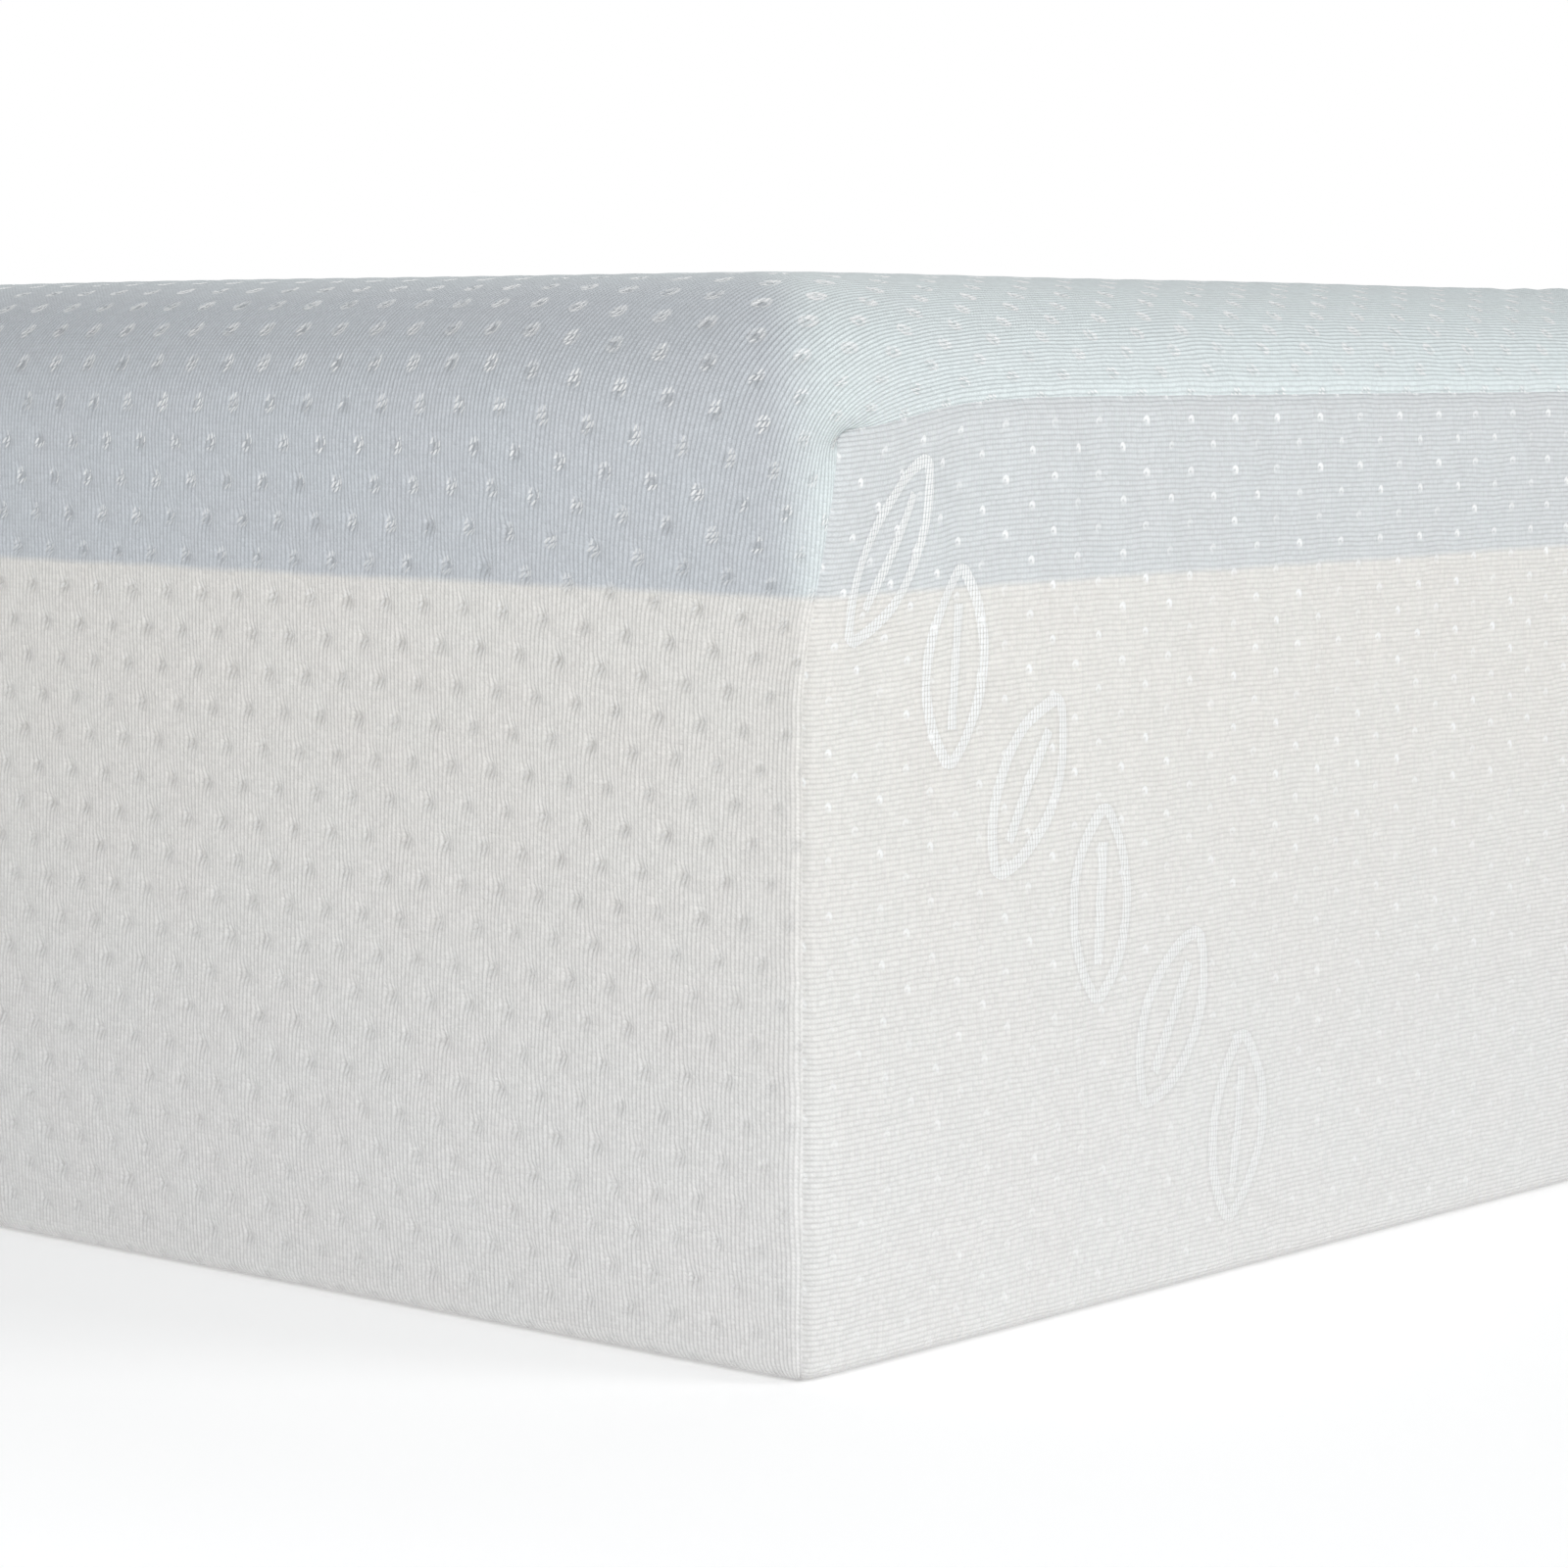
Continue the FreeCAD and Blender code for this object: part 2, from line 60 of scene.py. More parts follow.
HALF_LONG, HALF_WIDE, WRAP_TOP = box_mm("cover_wrap_panel")[1]
TOP = WRAP_TOP + 0.3
PANEL_TOP = box_mm("cover_foot_end_panel")[1][2] + 1.8  # drawn up a little when sewn
BASE_HALF_LONG, BASE_HALF_WIDE = box_mm("cover_base_panel")[1][:2]
FOAM_LINE = box_mm("foam_bond_layer")[1][2]
SLOT_LOW = box_mm("cover_head_end_lower_panel")[1][2]
SLOT_HIGH = box_mm("cover_head_end_upper_panel")[0][2]
ZIP_LEVEL = (SLOT_LOW + SLOT_HIGH) / 2
HEAD_FACE = -HALF_LONG

# ---- sizes of the cloth

WALE = 0.93  # width of one knitted wale
COURSE = 0.755  # height of one knitted course
WALES_A_DOT = 10  # wales from one dimple to the next in a row
COURSES_A_ROW = 9  # courses from one row of dimples to the next
SKEW = -0.08  # drift of each row of dimples past a half drop, in dimple spacings

SHOULDER_IN = 40.0  # how far in from a side the top edge starts to round
SHOULDER_DOWN = 34.0  # and how far down from the top
SHOULDER_RISE_POWER = 3.0  # over 2, so the side turns slowly at first and then quickly
CORNER_POWER_LOW = 13.2  # a tight upright corner near the floor
CORNER_POWER_TOP = 3.0  # and a soft one at the top
CORNER_SOFTENS = (100.0, 176.0)
CORNER_DRAWN_IN = 9.5  # how far each upright seam leans in at its top
CORNER_DIPS = 5.0  # and how far the seam across the end dips where they meet
TOP_SAGS = 2.1  # the top is this much lower away from the corners
FOOT_BULGES = 2.2  # the sides swell this much near the floor
HEM_RADIUS = 4.0
HEM_RETURN = 10.0  # cloth turned under, from the hem's curve to the base panel

DIMPLE_DEEP = 1.0
VALLEY_DEEP = 0.11  # soft valleys that join the dimples
CREASE_DEEP = 0.3  # a seam's crease
CREASE_WIDE = 0.9
LIP_HIGH = 0.35  # the swelling beside a crease


def ease(low, high, value):
    """0 up to low, 1 past high, and a smooth step between."""
    share = np.clip((value - low) / (high - low), 0, 1)
    return share * share * (3 - 2 * share)


def bell(value, width):
    return np.exp(-((value / width) ** 2))


def xyz(*parts):
    """Points from their coordinates. A coordinate that all of them share can be one number."""
    return np.stack(np.broadcast_arrays(*parts), axis=1)


# ---- the cover's smooth form
# The form is symmetric, so it is worked out for the quarter where x and y are positive.

CORE = np.array([HALF_LONG - SHOULDER_IN, HALF_WIDE - SHOULDER_IN, TOP - SHOULDER_DOWN])
REACH = np.array([SHOULDER_IN, SHOULDER_IN, SHOULDER_DOWN])


def corner_power(height):
    soft = ease(*CORNER_SOFTENS, height)
    return CORNER_POWER_LOW + (CORNER_POWER_TOP - CORNER_POWER_LOW) * soft


def onto_form(quarter, rounds=6):
    """Slide points of the quarter along rays from the mattress's core onto the cover's form."""
    core = np.minimum(quarter, CORE)
    u, v, w = np.maximum((quarter - core) / REACH, 0).T
    power = corner_power(quarter[:, 2])
    plan = (u**power + v**power) ** (2 / power)
    rise = w**SHOULDER_RISE_POWER
    scale = np.ones(len(quarter))
    for _ in range(rounds):
        lift = scale ** (SHOULDER_RISE_POWER - 1) * rise
        excess = scale * scale * plan + scale * lift - 1
        scale -= excess / np.maximum(2 * scale * plan + SHOULDER_RISE_POWER * lift, 1e-9)
    return core + scale[:, None] * (quarter - core)


def form_normal(quarter):
    """The form's outward normal at points on it."""
    u, v, w = np.maximum((quarter - np.minimum(quarter, CORE)) / REACH, 0).T
    power = corner_power(quarter[:, 2])
    both = np.maximum(u**power + v**power, 1e-30) ** (2 / power - 1)
    rise = SHOULDER_RISE_POWER * w ** (SHOULDER_RISE_POWER - 1)
    slope = xyz(2 * both * u ** (power - 1), 2 * both * v ** (power - 1), rise)
    slope /= REACH
    return slope / np.maximum(np.linalg.norm(slope, axis=1, keepdims=True), 1e-12)


def shoulder_curve():
    """The top edge's profile as arc length, distance in from the core and height."""
    turn = np.linspace(0, pi / 2, 4001)
    out = SHOULDER_IN * np.cos(turn)
    up = SHOULDER_DOWN * np.sin(turn) ** (2 / SHOULDER_RISE_POWER)
    length = np.concatenate([[0], np.cumsum(np.hypot(np.diff(out), np.diff(up)))])
    return length, out, CORE[2] + up


CURVE_LENGTH, CURVE_OUT, CURVE_UP = shoulder_curve()
SHOULDER_LONG = CURVE_LENGTH[-1]


def profile(girth, core):
    """Distance out and height of a point that is this far up the side and over the top."""
    along = girth - CORE[2]
    out = core + np.interp(along, CURVE_LENGTH, CURVE_OUT)
    out = out - np.maximum(along - SHOULDER_LONG, 0)
    height = np.interp(along, CURVE_LENGTH, CURVE_UP)
    return out, np.where(along < 0, girth, height)


# ---- how the wrap lies
# t is 0 where the side meets the floor and grows up the side and over the top. s is 0 at the
# seam of the foot end. Near a top corner the cloth can't keep its grid, because the straight
# edge of the wrap is sewn round a right angle, so a patch of it is relaxed there.

HEM_ARC = HEM_RADIUS * pi / 2
T_START = HEM_RADIUS - HEM_ARC - HEM_RETURN
T_MIDDLE = CORE[2] + SHOULDER_LONG + CORE[1]
SEAM_HEIGHT = onto_form(np.array([[HALF_LONG, 0, PANEL_TOP]]))[0, 2]
SEAM_GIRTH = CORE[2] + np.interp(SEAM_HEIGHT, CURVE_UP, CURVE_LENGTH)
S_MIDDLE = CORE[2] + SHOULDER_LONG + CORE[0] - SEAM_GIRTH
T_LONG = 2 * (T_MIDDLE - T_START)
S_LONG = 2 * S_MIDDLE
ROWS = round(T_LONG / (COURSE * COURSES_A_ROW))
HALF_DOTS = round(S_LONG / (WALE * WALES_A_DOT / 2))
ROW = T_LONG / ROWS
DOT = 2 * S_LONG / HALF_DOTS

PATCH_STEP = 3.0
PATCH_S = 26  # steps of the relaxed patch away from the seam
PATCH_T = 80
PATCH_LOW = 40.0  # height at which the patch starts
PATCH_ROUNDS = 1500
# How far rows of the wrap sink by the time they reach the seam.
EXTRA = T_MIDDLE - PANEL_TOP - HALF_WIDE
SINK_AT = [40, 90, 125, 145, 168, 185, 210, 245, 280]
SINK_BY = [0, 0.8, 3.5, 6.5, EXTRA, EXTRA + 3, EXTRA + 3, EXTRA + 1.5, EXTRA]


def side_x(s):
    """x of a point on the long side: all the length lost at the seam is taken up near it."""
    near = np.clip(1 - s / (PATCH_S * PATCH_STEP), 0, 1)
    return S_MIDDLE - s - (S_MIDDLE - HALF_LONG) * near**2


def draw_in(inside, height):
    """Move an end panel's top corners towards its middle and down, as its seam is drawn in."""
    drawn = CORNER_DRAWN_IN * ease(110, PANEL_TOP + 3, height)
    dip = CORNER_DIPS * bell(HALF_WIDE - inside, 34) * ease(70, PANEL_TOP, height)
    return inside - drawn * ease(HALF_WIDE - 50, HALF_WIDE, inside), height - dip


def seam_path(length):
    """A point of the foot end's seam: up the corner, then along under the top edge."""
    up = np.minimum(length, PANEL_TOP)
    across = np.maximum(length - PANEL_TOP, 0)
    inside, height = draw_in(HALF_WIDE - across, up)
    return onto_form(xyz(HALF_LONG, inside, height))


def plain_wrap(s, t):
    """Where the wrap lies away from the corners: over the side, or over the end's top edge."""
    over_side, height = profile(t, CORE[1])
    x_end, height_end = profile(SEAM_GIRTH + s, CORE[0])
    past_top = t > PATCH_LOW + PATCH_T * PATCH_STEP
    y_top = T_MIDDLE - t
    beside = xyz(side_x(s), over_side, height)
    across = xyz(x_end, y_top, np.minimum(height_end, TOP))
    return np.where(past_top[:, None], across, beside)


def relaxed_patch():
    """Positions of a square grid of cloth round a top corner, evened out on the form."""
    s = np.arange(PATCH_S + 1) * PATCH_STEP
    t = PATCH_LOW + np.arange(PATCH_T + 1) * PATCH_STEP
    sunk = t - np.interp(t, SINK_AT, SINK_BY)
    for _ in range(4):
        sunk[1:-1] = (sunk[:-2] + 2 * sunk[1:-1] + sunk[2:]) / 4
    edge_seam = seam_path(sunk)
    edge_far = plain_wrap(np.full_like(t, s[-1]), t)
    edge_low = onto_form(xyz(side_x(s), HALF_WIDE, PATCH_LOW))
    x_end, height_end = profile(SEAM_GIRTH + s, CORE[0])
    edge_top = xyz(x_end, T_MIDDLE - t[-1], height_end)

    a = (np.arange(PATCH_S + 1) / PATCH_S)[:, None, None]
    b = (np.arange(PATCH_T + 1) / PATCH_T)[None, :, None]
    grid = (1 - a) * edge_seam[None] + a * edge_far[None]
    grid = grid + (1 - b) * edge_low[:, None] + b * edge_top[:, None]
    grid = grid - (1 - a) * (1 - b) * edge_low[0] - a * (1 - b) * edge_low[-1]
    grid = grid - (1 - a) * b * edge_top[0] - a * b * edge_top[-1]
    for _ in range(PATCH_ROUNDS):
        mean = (grid[:-2, 1:-1] + grid[2:, 1:-1] + grid[1:-1, :-2] + grid[1:-1, 2:]) / 4
        grid[1:-1, 1:-1] = onto_form(mean.reshape(-1, 3), rounds=2).reshape(mean.shape)
    return grid


def cubic_weights(share):
    """Weights of four neighbours for a smooth curve through the middle two."""
    a, b, c = share, share**2, share**3
    return [
        (-a + 2 * b - c) / 2,
        (2 - 5 * b + 3 * c) / 2,
        (a + 4 * b - 3 * c) / 2,
        (c - b) / 2,
    ]


def sample_grid(grid, i, j):
    """A smooth value from the grid at fractional steps i and j."""
    padded = np.pad(grid, ((1, 1), (1, 1), (0, 0)), mode="reflect", reflect_type="odd")
    low_i = np.clip(np.floor(i).astype(int), 0, grid.shape[0] - 2)
    low_j = np.clip(np.floor(j).astype(int), 0, grid.shape[1] - 2)
    total = 0
    for step_i, weight_i in enumerate(cubic_weights(i - low_i)):
        for step_j, weight_j in enumerate(cubic_weights(j - low_j)):
            weight = (weight_i * weight_j)[:, None]
            total = total + weight * padded[low_i + step_i, low_j + step_j]
    return total


def turn_under(side_point, girth, base_point):
    """Bring points below the hem's curve round it and under to the base panel."""
    outward = form_normal(side_point)
    angle = np.clip((HEM_RADIUS - girth) / HEM_RADIUS, 0, pi / 2)[:, None]
    curve = side_point - outward * HEM_RADIUS * (1 - np.cos(angle))
    curve[:, 2] = HEM_RADIUS * (1 - np.sin(angle[:, 0]))
    share = np.clip((HEM_RADIUS - HEM_ARC - girth) / HEM_RETURN, 0, 1)[:, None]
    under = curve * (1 - share) + base_point * share
    facing = outward * np.cos(angle) - np.array([0, 0, 1]) * np.sin(angle)
    return under, facing


PATCH = relaxed_patch()


def place_wrap(s, t):
    """Position, normal and distance from the seam of points of the flat wrap."""
    fold_s, fold_t = np.minimum(s, S_LONG - s), np.minimum(t, 2 * T_MIDDLE - t)
    fold_s, fold_t = np.maximum(fold_s, 0), np.maximum(fold_t, T_START)
    flip = xyz(np.where(s < S_MIDDLE, 1, -1), np.where(t < T_MIDDLE, -1, 1), 1)
    place = plain_wrap(fold_s, fold_t)
    i, j = fold_s / PATCH_STEP, (fold_t - PATCH_LOW) / PATCH_STEP
    inside = (i < PATCH_S) & (j > 0) & (j < PATCH_T)
    place[inside] = sample_grid(PATCH, i[inside], j[inside])
    place[:, 2] = np.maximum(place[:, 2], HEM_RADIUS)
    place = onto_form(place)
    facing = form_normal(place)
    low = fold_t < HEM_RADIUS
    base = xyz(np.minimum(place[:, 0], BASE_HALF_LONG), BASE_HALF_WIDE, 0)
    place[low], facing[low] = turn_under(place[low], fold_t[low], base[low])
    return place * flip, facing * flip, fold_s


def place_end(y, height):
    """Position, normal and distance from the nearest seam of points of the foot end's panel."""
    inside = abs(y)
    drawn, level = draw_in(inside, height)
    guess = xyz(HALF_LONG, drawn, np.maximum(level, HEM_RADIUS))
    place = onto_form(guess)
    facing = form_normal(place)
    low = height < HEM_RADIUS
    base = xyz(BASE_HALF_LONG, np.minimum(place[:, 1], BASE_HALF_WIDE), 0)
    place[low], facing[low] = turn_under(place[low], height[low], base[low])
    flip = xyz(1, np.where(y < 0, -1, 1), 1)
    side_gap = HALF_WIDE - inside
    top_gap = PANEL_TOP - height
    gap = np.minimum(side_gap, top_gap)
    return place * flip, facing * flip, gap


# ---- relief of the cloth


def part(value):
    """The part past the nearest whole number."""
    return value - np.round(value)


def lottery(i, j):
    """A number from 0 to 1 for each pair of whole numbers."""
    mixed = np.sin(i * 12.9898 + j * 78.233) * 43758.5453
    return mixed - np.floor(mixed)


def relief(across, along, dot, row, lean=1.0, size=1.0):
    """Height of the puffed cloth. There's a dimple at each whole pair, and at each half pair.

    lean makes the dimples longer along one diagonal.
    """
    pits = 0
    for half in (0, 0.5):
        u, v = part(across + half) * dot, part(along + half) * 2 * row
        depth = 0.65 + 0.5 * lottery(np.round(across + half) + 7 * half, np.round(along + half))
        long, short = (u + v) / sqrt(2), (u - v) / sqrt(2)
        long, short = long / (1.05 * size * (1 + 0.35 * lean)), short / (1.05 * size)
        pits = pits + depth * np.exp(-(long**2) - short**2)
    turn = 2 * pi
    valley = 0.75 * np.cos(turn * (across - along)) + 0.25 * np.cos(turn * (across + along))
    return -VALLEY_DEEP * valley - DIMPLE_DEEP * pits


def crease(gap):
    """A seam's crease and the cloth that swells beside it."""
    return LIP_HIGH * bell(gap - 2.6, 1.9) - CREASE_DEEP * bell(gap, CREASE_WIDE)


def unevenness(points):
    """Slow, slight swelling of a real cover over real foam."""
    x, y, z = points.T
    waves = np.sin(x / 61 + 1.3 * np.sin(y / 83)) + np.sin(y / 47 + z / 71 + 0.8 * np.sin(x / 97))
    waves = waves + np.sin(x / 29 + z / 37 + 2.1) * 0.5 + np.sin(y / 23 - z / 31) * 0.5
    bulge = FOOT_BULGES * bell(z - 18, 42) * ease(0, 10, z)
    return 0.22 * waves + bulge


# ---- grids of cloth


def graded_grid(blocks, fine, is_near):
    """Quads over blocks[0] x blocks[1] blocks, each cut into fine[0] x fine[1] where it is near.

    Returns whole-number corner coordinates in fine steps and faces. A coarse face beside a fine
    one takes in the points along their shared edge, so the cloth has no gaps.
    """
    (columns, rows), (cut_i, cut_j) = blocks, fine
    wide = rows * cut_j + 1

    def quads(a, b, c, d):
        return np.stack([a * wide + b, c * wide + b, c * wide + d, a * wide + d], 1)

    near = is_near(*np.meshgrid(np.arange(columns) + 0.5, np.arange(rows) + 0.5, indexing="ij"))
    block_i, block_j = np.nonzero(near)
    step_i, step_j = np.meshgrid(np.arange(cut_i), np.arange(cut_j), indexing="ij")
    i = (block_i[:, None] * cut_i + step_i.ravel()).ravel()
    j = (block_j[:, None] * cut_j + step_j.ravel()).ravel()
    faces = [quads(i, j, i + 1, j + 1)]
    spread = np.pad(near, 1)
    beside = spread[:-2, 1:-1] | spread[2:, 1:-1] | spread[1:-1, :-2] | spread[1:-1, 2:]
    i, j = np.nonzero(~near & ~beside)
    faces.append(quads(i * cut_i, j * cut_j, (i + 1) * cut_i, (j + 1) * cut_j))
    many = []
    for i, j in zip(*np.nonzero(~near & beside)):
        loop = []
        sides = [
            ((0, 0), (1, 0), spread[i + 1, j]),
            ((1, 0), (1, 1), spread[i + 2, j + 1]),
            ((1, 1), (0, 1), spread[i + 1, j + 2]),
            ((0, 1), (0, 0), spread[i, j + 1]),
        ]
        for start, end, fine_side in sides:
            steps = (cut_i if start[1] == end[1] else cut_j) if fine_side else 1
            for k in range(steps):
                at_i = (i + start[0] + (end[0] - start[0]) * k / steps) * cut_i
                at_j = (j + start[1] + (end[1] - start[1]) * k / steps) * cut_j
                loop.append(round(at_i) * wide + round(at_j))
        many.append(loop)
    sizes = [4] * (len(faces[0]) + len(faces[1])) + [len(loop) for loop in many]
    corners = np.concatenate([faces[0].ravel(), faces[1].ravel(), [c for loop in many for c in loop]])
    used, corners = np.unique(corners.astype(np.int64), return_inverse=True)
    return used // wide, used % wide, corners, np.array(sizes)


def plain_grid(columns, rows):
    """A grid that is coarse all over."""
    return graded_grid((columns, rows), (1, 1), lambda i, j: i < 0)


def new_object(name, data):
    piece = bpy.data.objects.new(name, data)
    bpy.context.scene.collection.objects.link(piece)
    return piece


def new_mesh(name, points, corners, sizes, maps=None):
    """A smooth mesh object from points in millimetres. maps are UV maps, given per point."""
    mesh = bpy.data.meshes.new(name)
    mesh.vertices.add(len(points))
    mesh.vertices.foreach_set("co", (np.asarray(points) * MM).astype(np.float32).ravel())
    mesh.loops.add(len(corners))
    mesh.loops.foreach_set("vertex_index", corners.astype(np.int32))
    starts = np.concatenate([[0], np.cumsum(sizes)[:-1]])
    mesh.polygons.add(len(sizes))
    mesh.polygons.foreach_set("loop_start", starts.astype(np.int32))
    mesh.polygons.foreach_set("use_smooth", np.ones(len(sizes), dtype=bool))
    for title, pair in (maps or {}).items():
        layer = mesh.uv_layers.new(name=title)
        layer.uv.foreach_set("vector", np.stack(pair, 1)[corners].astype(np.float32).ravel())
    mesh.validate()
    mesh.update()
    return new_object(name, mesh)


def add_piece(piece, material, node):
    """Dress a piece, let it ride on the mattress and hide the CAD node that it stands for."""
    piece.data.materials.append(material)
    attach(piece, "mattress")
    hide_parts(node)
    return piece


# ---- the cover's panels

FINE_SIDE = (300, 216)  # s and t up to which the wrap's mesh is fine, on the side
FINE_TOP = (62, 425)  # and over the top
FINE_END = 246  # how far across the foot end its mesh is fine
STRETCH_LOW, STRETCH_HIGH = 148.0, 211.0  # t where the wrap is stretched by one row
END_COLUMNS = round(2 * HALF_WIDE / (COURSE * COURSES_A_ROW * 0.97))
END_HALF_DOTS = round((PANEL_TOP - T_START) / (WALE * WALES_A_DOT / 2))
END_ROW = 2 * HALF_WIDE / END_COLUMNS
END_DOT = 2 * (PANEL_TOP - T_START) / END_HALF_DOTS
LEAF_LONG = 17.0  # half the length of a knitted leaf
LEAF_WIDE = 7.6
LEAF_RIB = 9.5  # half the length of its middle rib
LEAF_STEP = np.array([20.0, -22.0])  # from one leaf to the next
LEAF_FIRST = np.array([19.0, 137.5])
LEAVES = 6
LEAF_REPEAT = 300.0  # from one chain of leaves to the next
LEAF_TURNS = (59, 85)  # degrees, by turns
LEAF_BACK = (LEAF_LONG**2 - LEAF_WIDE**2) / (2 * LEAF_WIDE)  # from a leaf to its arcs' centres
LEAF_RADIUS = LEAF_BACK + LEAF_WIDE


def settle(points, facing, lift):
    """Lift points off the smooth form, and let the top sag a little away from the corners."""
    points = points + facing * lift[:, None]
    away = np.hypot(HALF_LONG - abs(points[:, 0]), HALF_WIDE - abs(points[:, 1]))
    sag = TOP_SAGS * (1 - bell(away, 165)) * ease(110, TOP - 2, points[:, 2])
    points[:, 2] -= sag
    return points


def cloth_length(s, t):
    """Place along the cloth of a point of the wrap: the side's edge is cut back at the seam."""
    near = np.clip(1 - np.minimum(s, S_LONG - s) / (PATCH_S * PATCH_STEP), 0, 1)
    fold_t = np.minimum(t, 2 * T_MIDDLE - t)
    cut = (S_MIDDLE - HALF_LONG) * near**2 * (1 - ease(135, 190, fold_t))
    return np.where(s < S_MIDDLE, s + cut, s - cut)


def wrap_dots(s, t):
    """The wrap's place in its pattern of dimples.

    Near the photographed corner each row drifts past a half drop, and the cloth is stretched
    over the shoulder by one row. Both come to whole steps of the pattern at the top.
    """
    across, along = cloth_length(s, t) / DOT, (t - T_START) / (2 * ROW)
    near = (1 - ease(215, 335, s)) * (t < T_MIDDLE)
    drift = SKEW * (np.minimum(t, STRETCH_HIGH) - STRETCH_HIGH) / ROW
    stretched = 0.5 * ease(STRETCH_LOW, STRETCH_HIGH, t)
    return across - near * (drift + stretched), along - near * stretched


def make_wrap():
    def is_near(i, j):
        s, t = i * DOT / 2, T_START + j * ROW
        return ((s < FINE_SIDE[0]) & (t < FINE_SIDE[1])) | ((s < FINE_TOP[0]) & (t < FINE_TOP[1]))

    i, j, corners, sizes = graded_grid((HALF_DOTS, ROWS), (5, 8), is_near)
    s, t = i * DOT / 10, T_START + j * ROW / 8
    across, along = wrap_dots(s, t)
    points, facing, gap = place_wrap(s, t)
    fold_t = np.minimum(t, 2 * T_MIDDLE - t)
    calm = ease(-3, 16, fold_t) * (0.25 + 0.75 * ease(4, 28, gap)) * ease(0, 4, gap)
    calm = calm * (1 - 0.6 * ease(135, 168, fold_t))
    lift = calm * relief(across, along, DOT, ROW) + crease(gap) * ease(-4, 4, fold_t)
    lift = lift + unevenness(points) * ease(0, 40, fold_t)
    points = settle(points, facing, lift)
    stitch = (cloth_length(s, t) / DOT * WALES_A_DOT, t / ROW * COURSES_A_ROW)
    return new_mesh("CoverWrap", points, corners, sizes, {"stitch": stitch, "dots": (across, along)})


def pucker(y, height):
    """Fullness of the end panel where it is gathered into the seam under the top edge."""
    from_corner = HALF_WIDE - abs(y)
    depth = np.maximum(PANEL_TOP - height, 0)
    wave = np.sin(from_corner / 4.6 + 1.1 * np.sin(from_corner / 19) + depth / 60)
    wave = wave + 0.5 * np.sin(from_corner / 7.9 + depth / 35 + 1.0)
    reach = np.exp(-depth / 26) * ease(6, 22, from_corner)
    fold = 0.26 * np.sin(from_corner / 2.08 - depth / 14) * np.exp(-depth / 90)
    full = 0.6 * wave * reach * (0.35 + 0.65 * bell(from_corner - 50, 60)) + fold
    return full * ease(0, 8, depth) * ease(0, 10, from_corner)


def each_leaf(chain, height):
    """For each leaf, how far places of the end panel are along it and across it."""
    for number in range(LEAVES):
        middle = LEAF_FIRST + LEAF_STEP * number
        turn = radians(LEAF_TURNS[number % 2])
        a, b = chain - float(middle[0]), height - float(middle[1])
        yield a * cos(turn) + b * sin(turn), b * cos(turn) - a * sin(turn)


def leaf_gap(y, height):
    """Distance to the nearest line of the knitted leaves."""
    best = np.full_like(y, 99.0)
    for u, v in each_leaf(np.mod(y + HALF_WIDE, LEAF_REPEAT), height):
        outline = abs(np.hypot(u, abs(v) + LEAF_BACK) - LEAF_RADIUS)
        outline = np.where(abs(u) > LEAF_LONG, np.hypot(abs(u) - LEAF_LONG, v), outline)
        rib = np.maximum(abs(v), abs(u) - LEAF_RIB)
        best = np.minimum(best, np.minimum(outline, rib))
    return best


def end_maps(y, girth):
    """Where points of an end panel lie among its stitches and its dimples."""
    stitch = (girth / END_DOT * WALES_A_DOT, (y + HALF_WIDE) / END_ROW * COURSES_A_ROW)
    return {"stitch": stitch, "dots": ((girth - T_START) / END_DOT, (y + HALF_WIDE) / (2 * END_ROW))}


def make_foot_panel():
    def is_near(i, j):
        return i * END_ROW < FINE_END

    shape = (END_COLUMNS, END_HALF_DOTS)
    i, j, corners, sizes = graded_grid(shape, (8, 5), is_near)
    y, height = i * END_ROW / 8 - HALF_WIDE, T_START + j * END_DOT / 10
    maps = end_maps(y, height)
    points, facing, gap = place_end(y, height)
    calm = ease(-3, 16, height) * ease(-1, 6, gap)
    lift = calm * 0.3 * relief(*maps["dots"], END_DOT, END_ROW, lean=0, size=0.9)
    lift = lift + crease(gap) * ease(-4, 4, height) + 0.15 * bell(leaf_gap(y, height), 1.2)
    lift = lift + (unevenness(points) + pucker(y, height)) * ease(0, 40, height)
    points = settle(points, facing, lift)
    maps["panel"] = (y + HALF_WIDE, height)
    return new_mesh("CoverFootEnd", points, corners, sizes, maps)


SLOT_TURN = 1.25  # radius of the fold along each side of the zip
TAB_TUCK = 2.5  # how far a cloth tab reaches behind the end of the zip


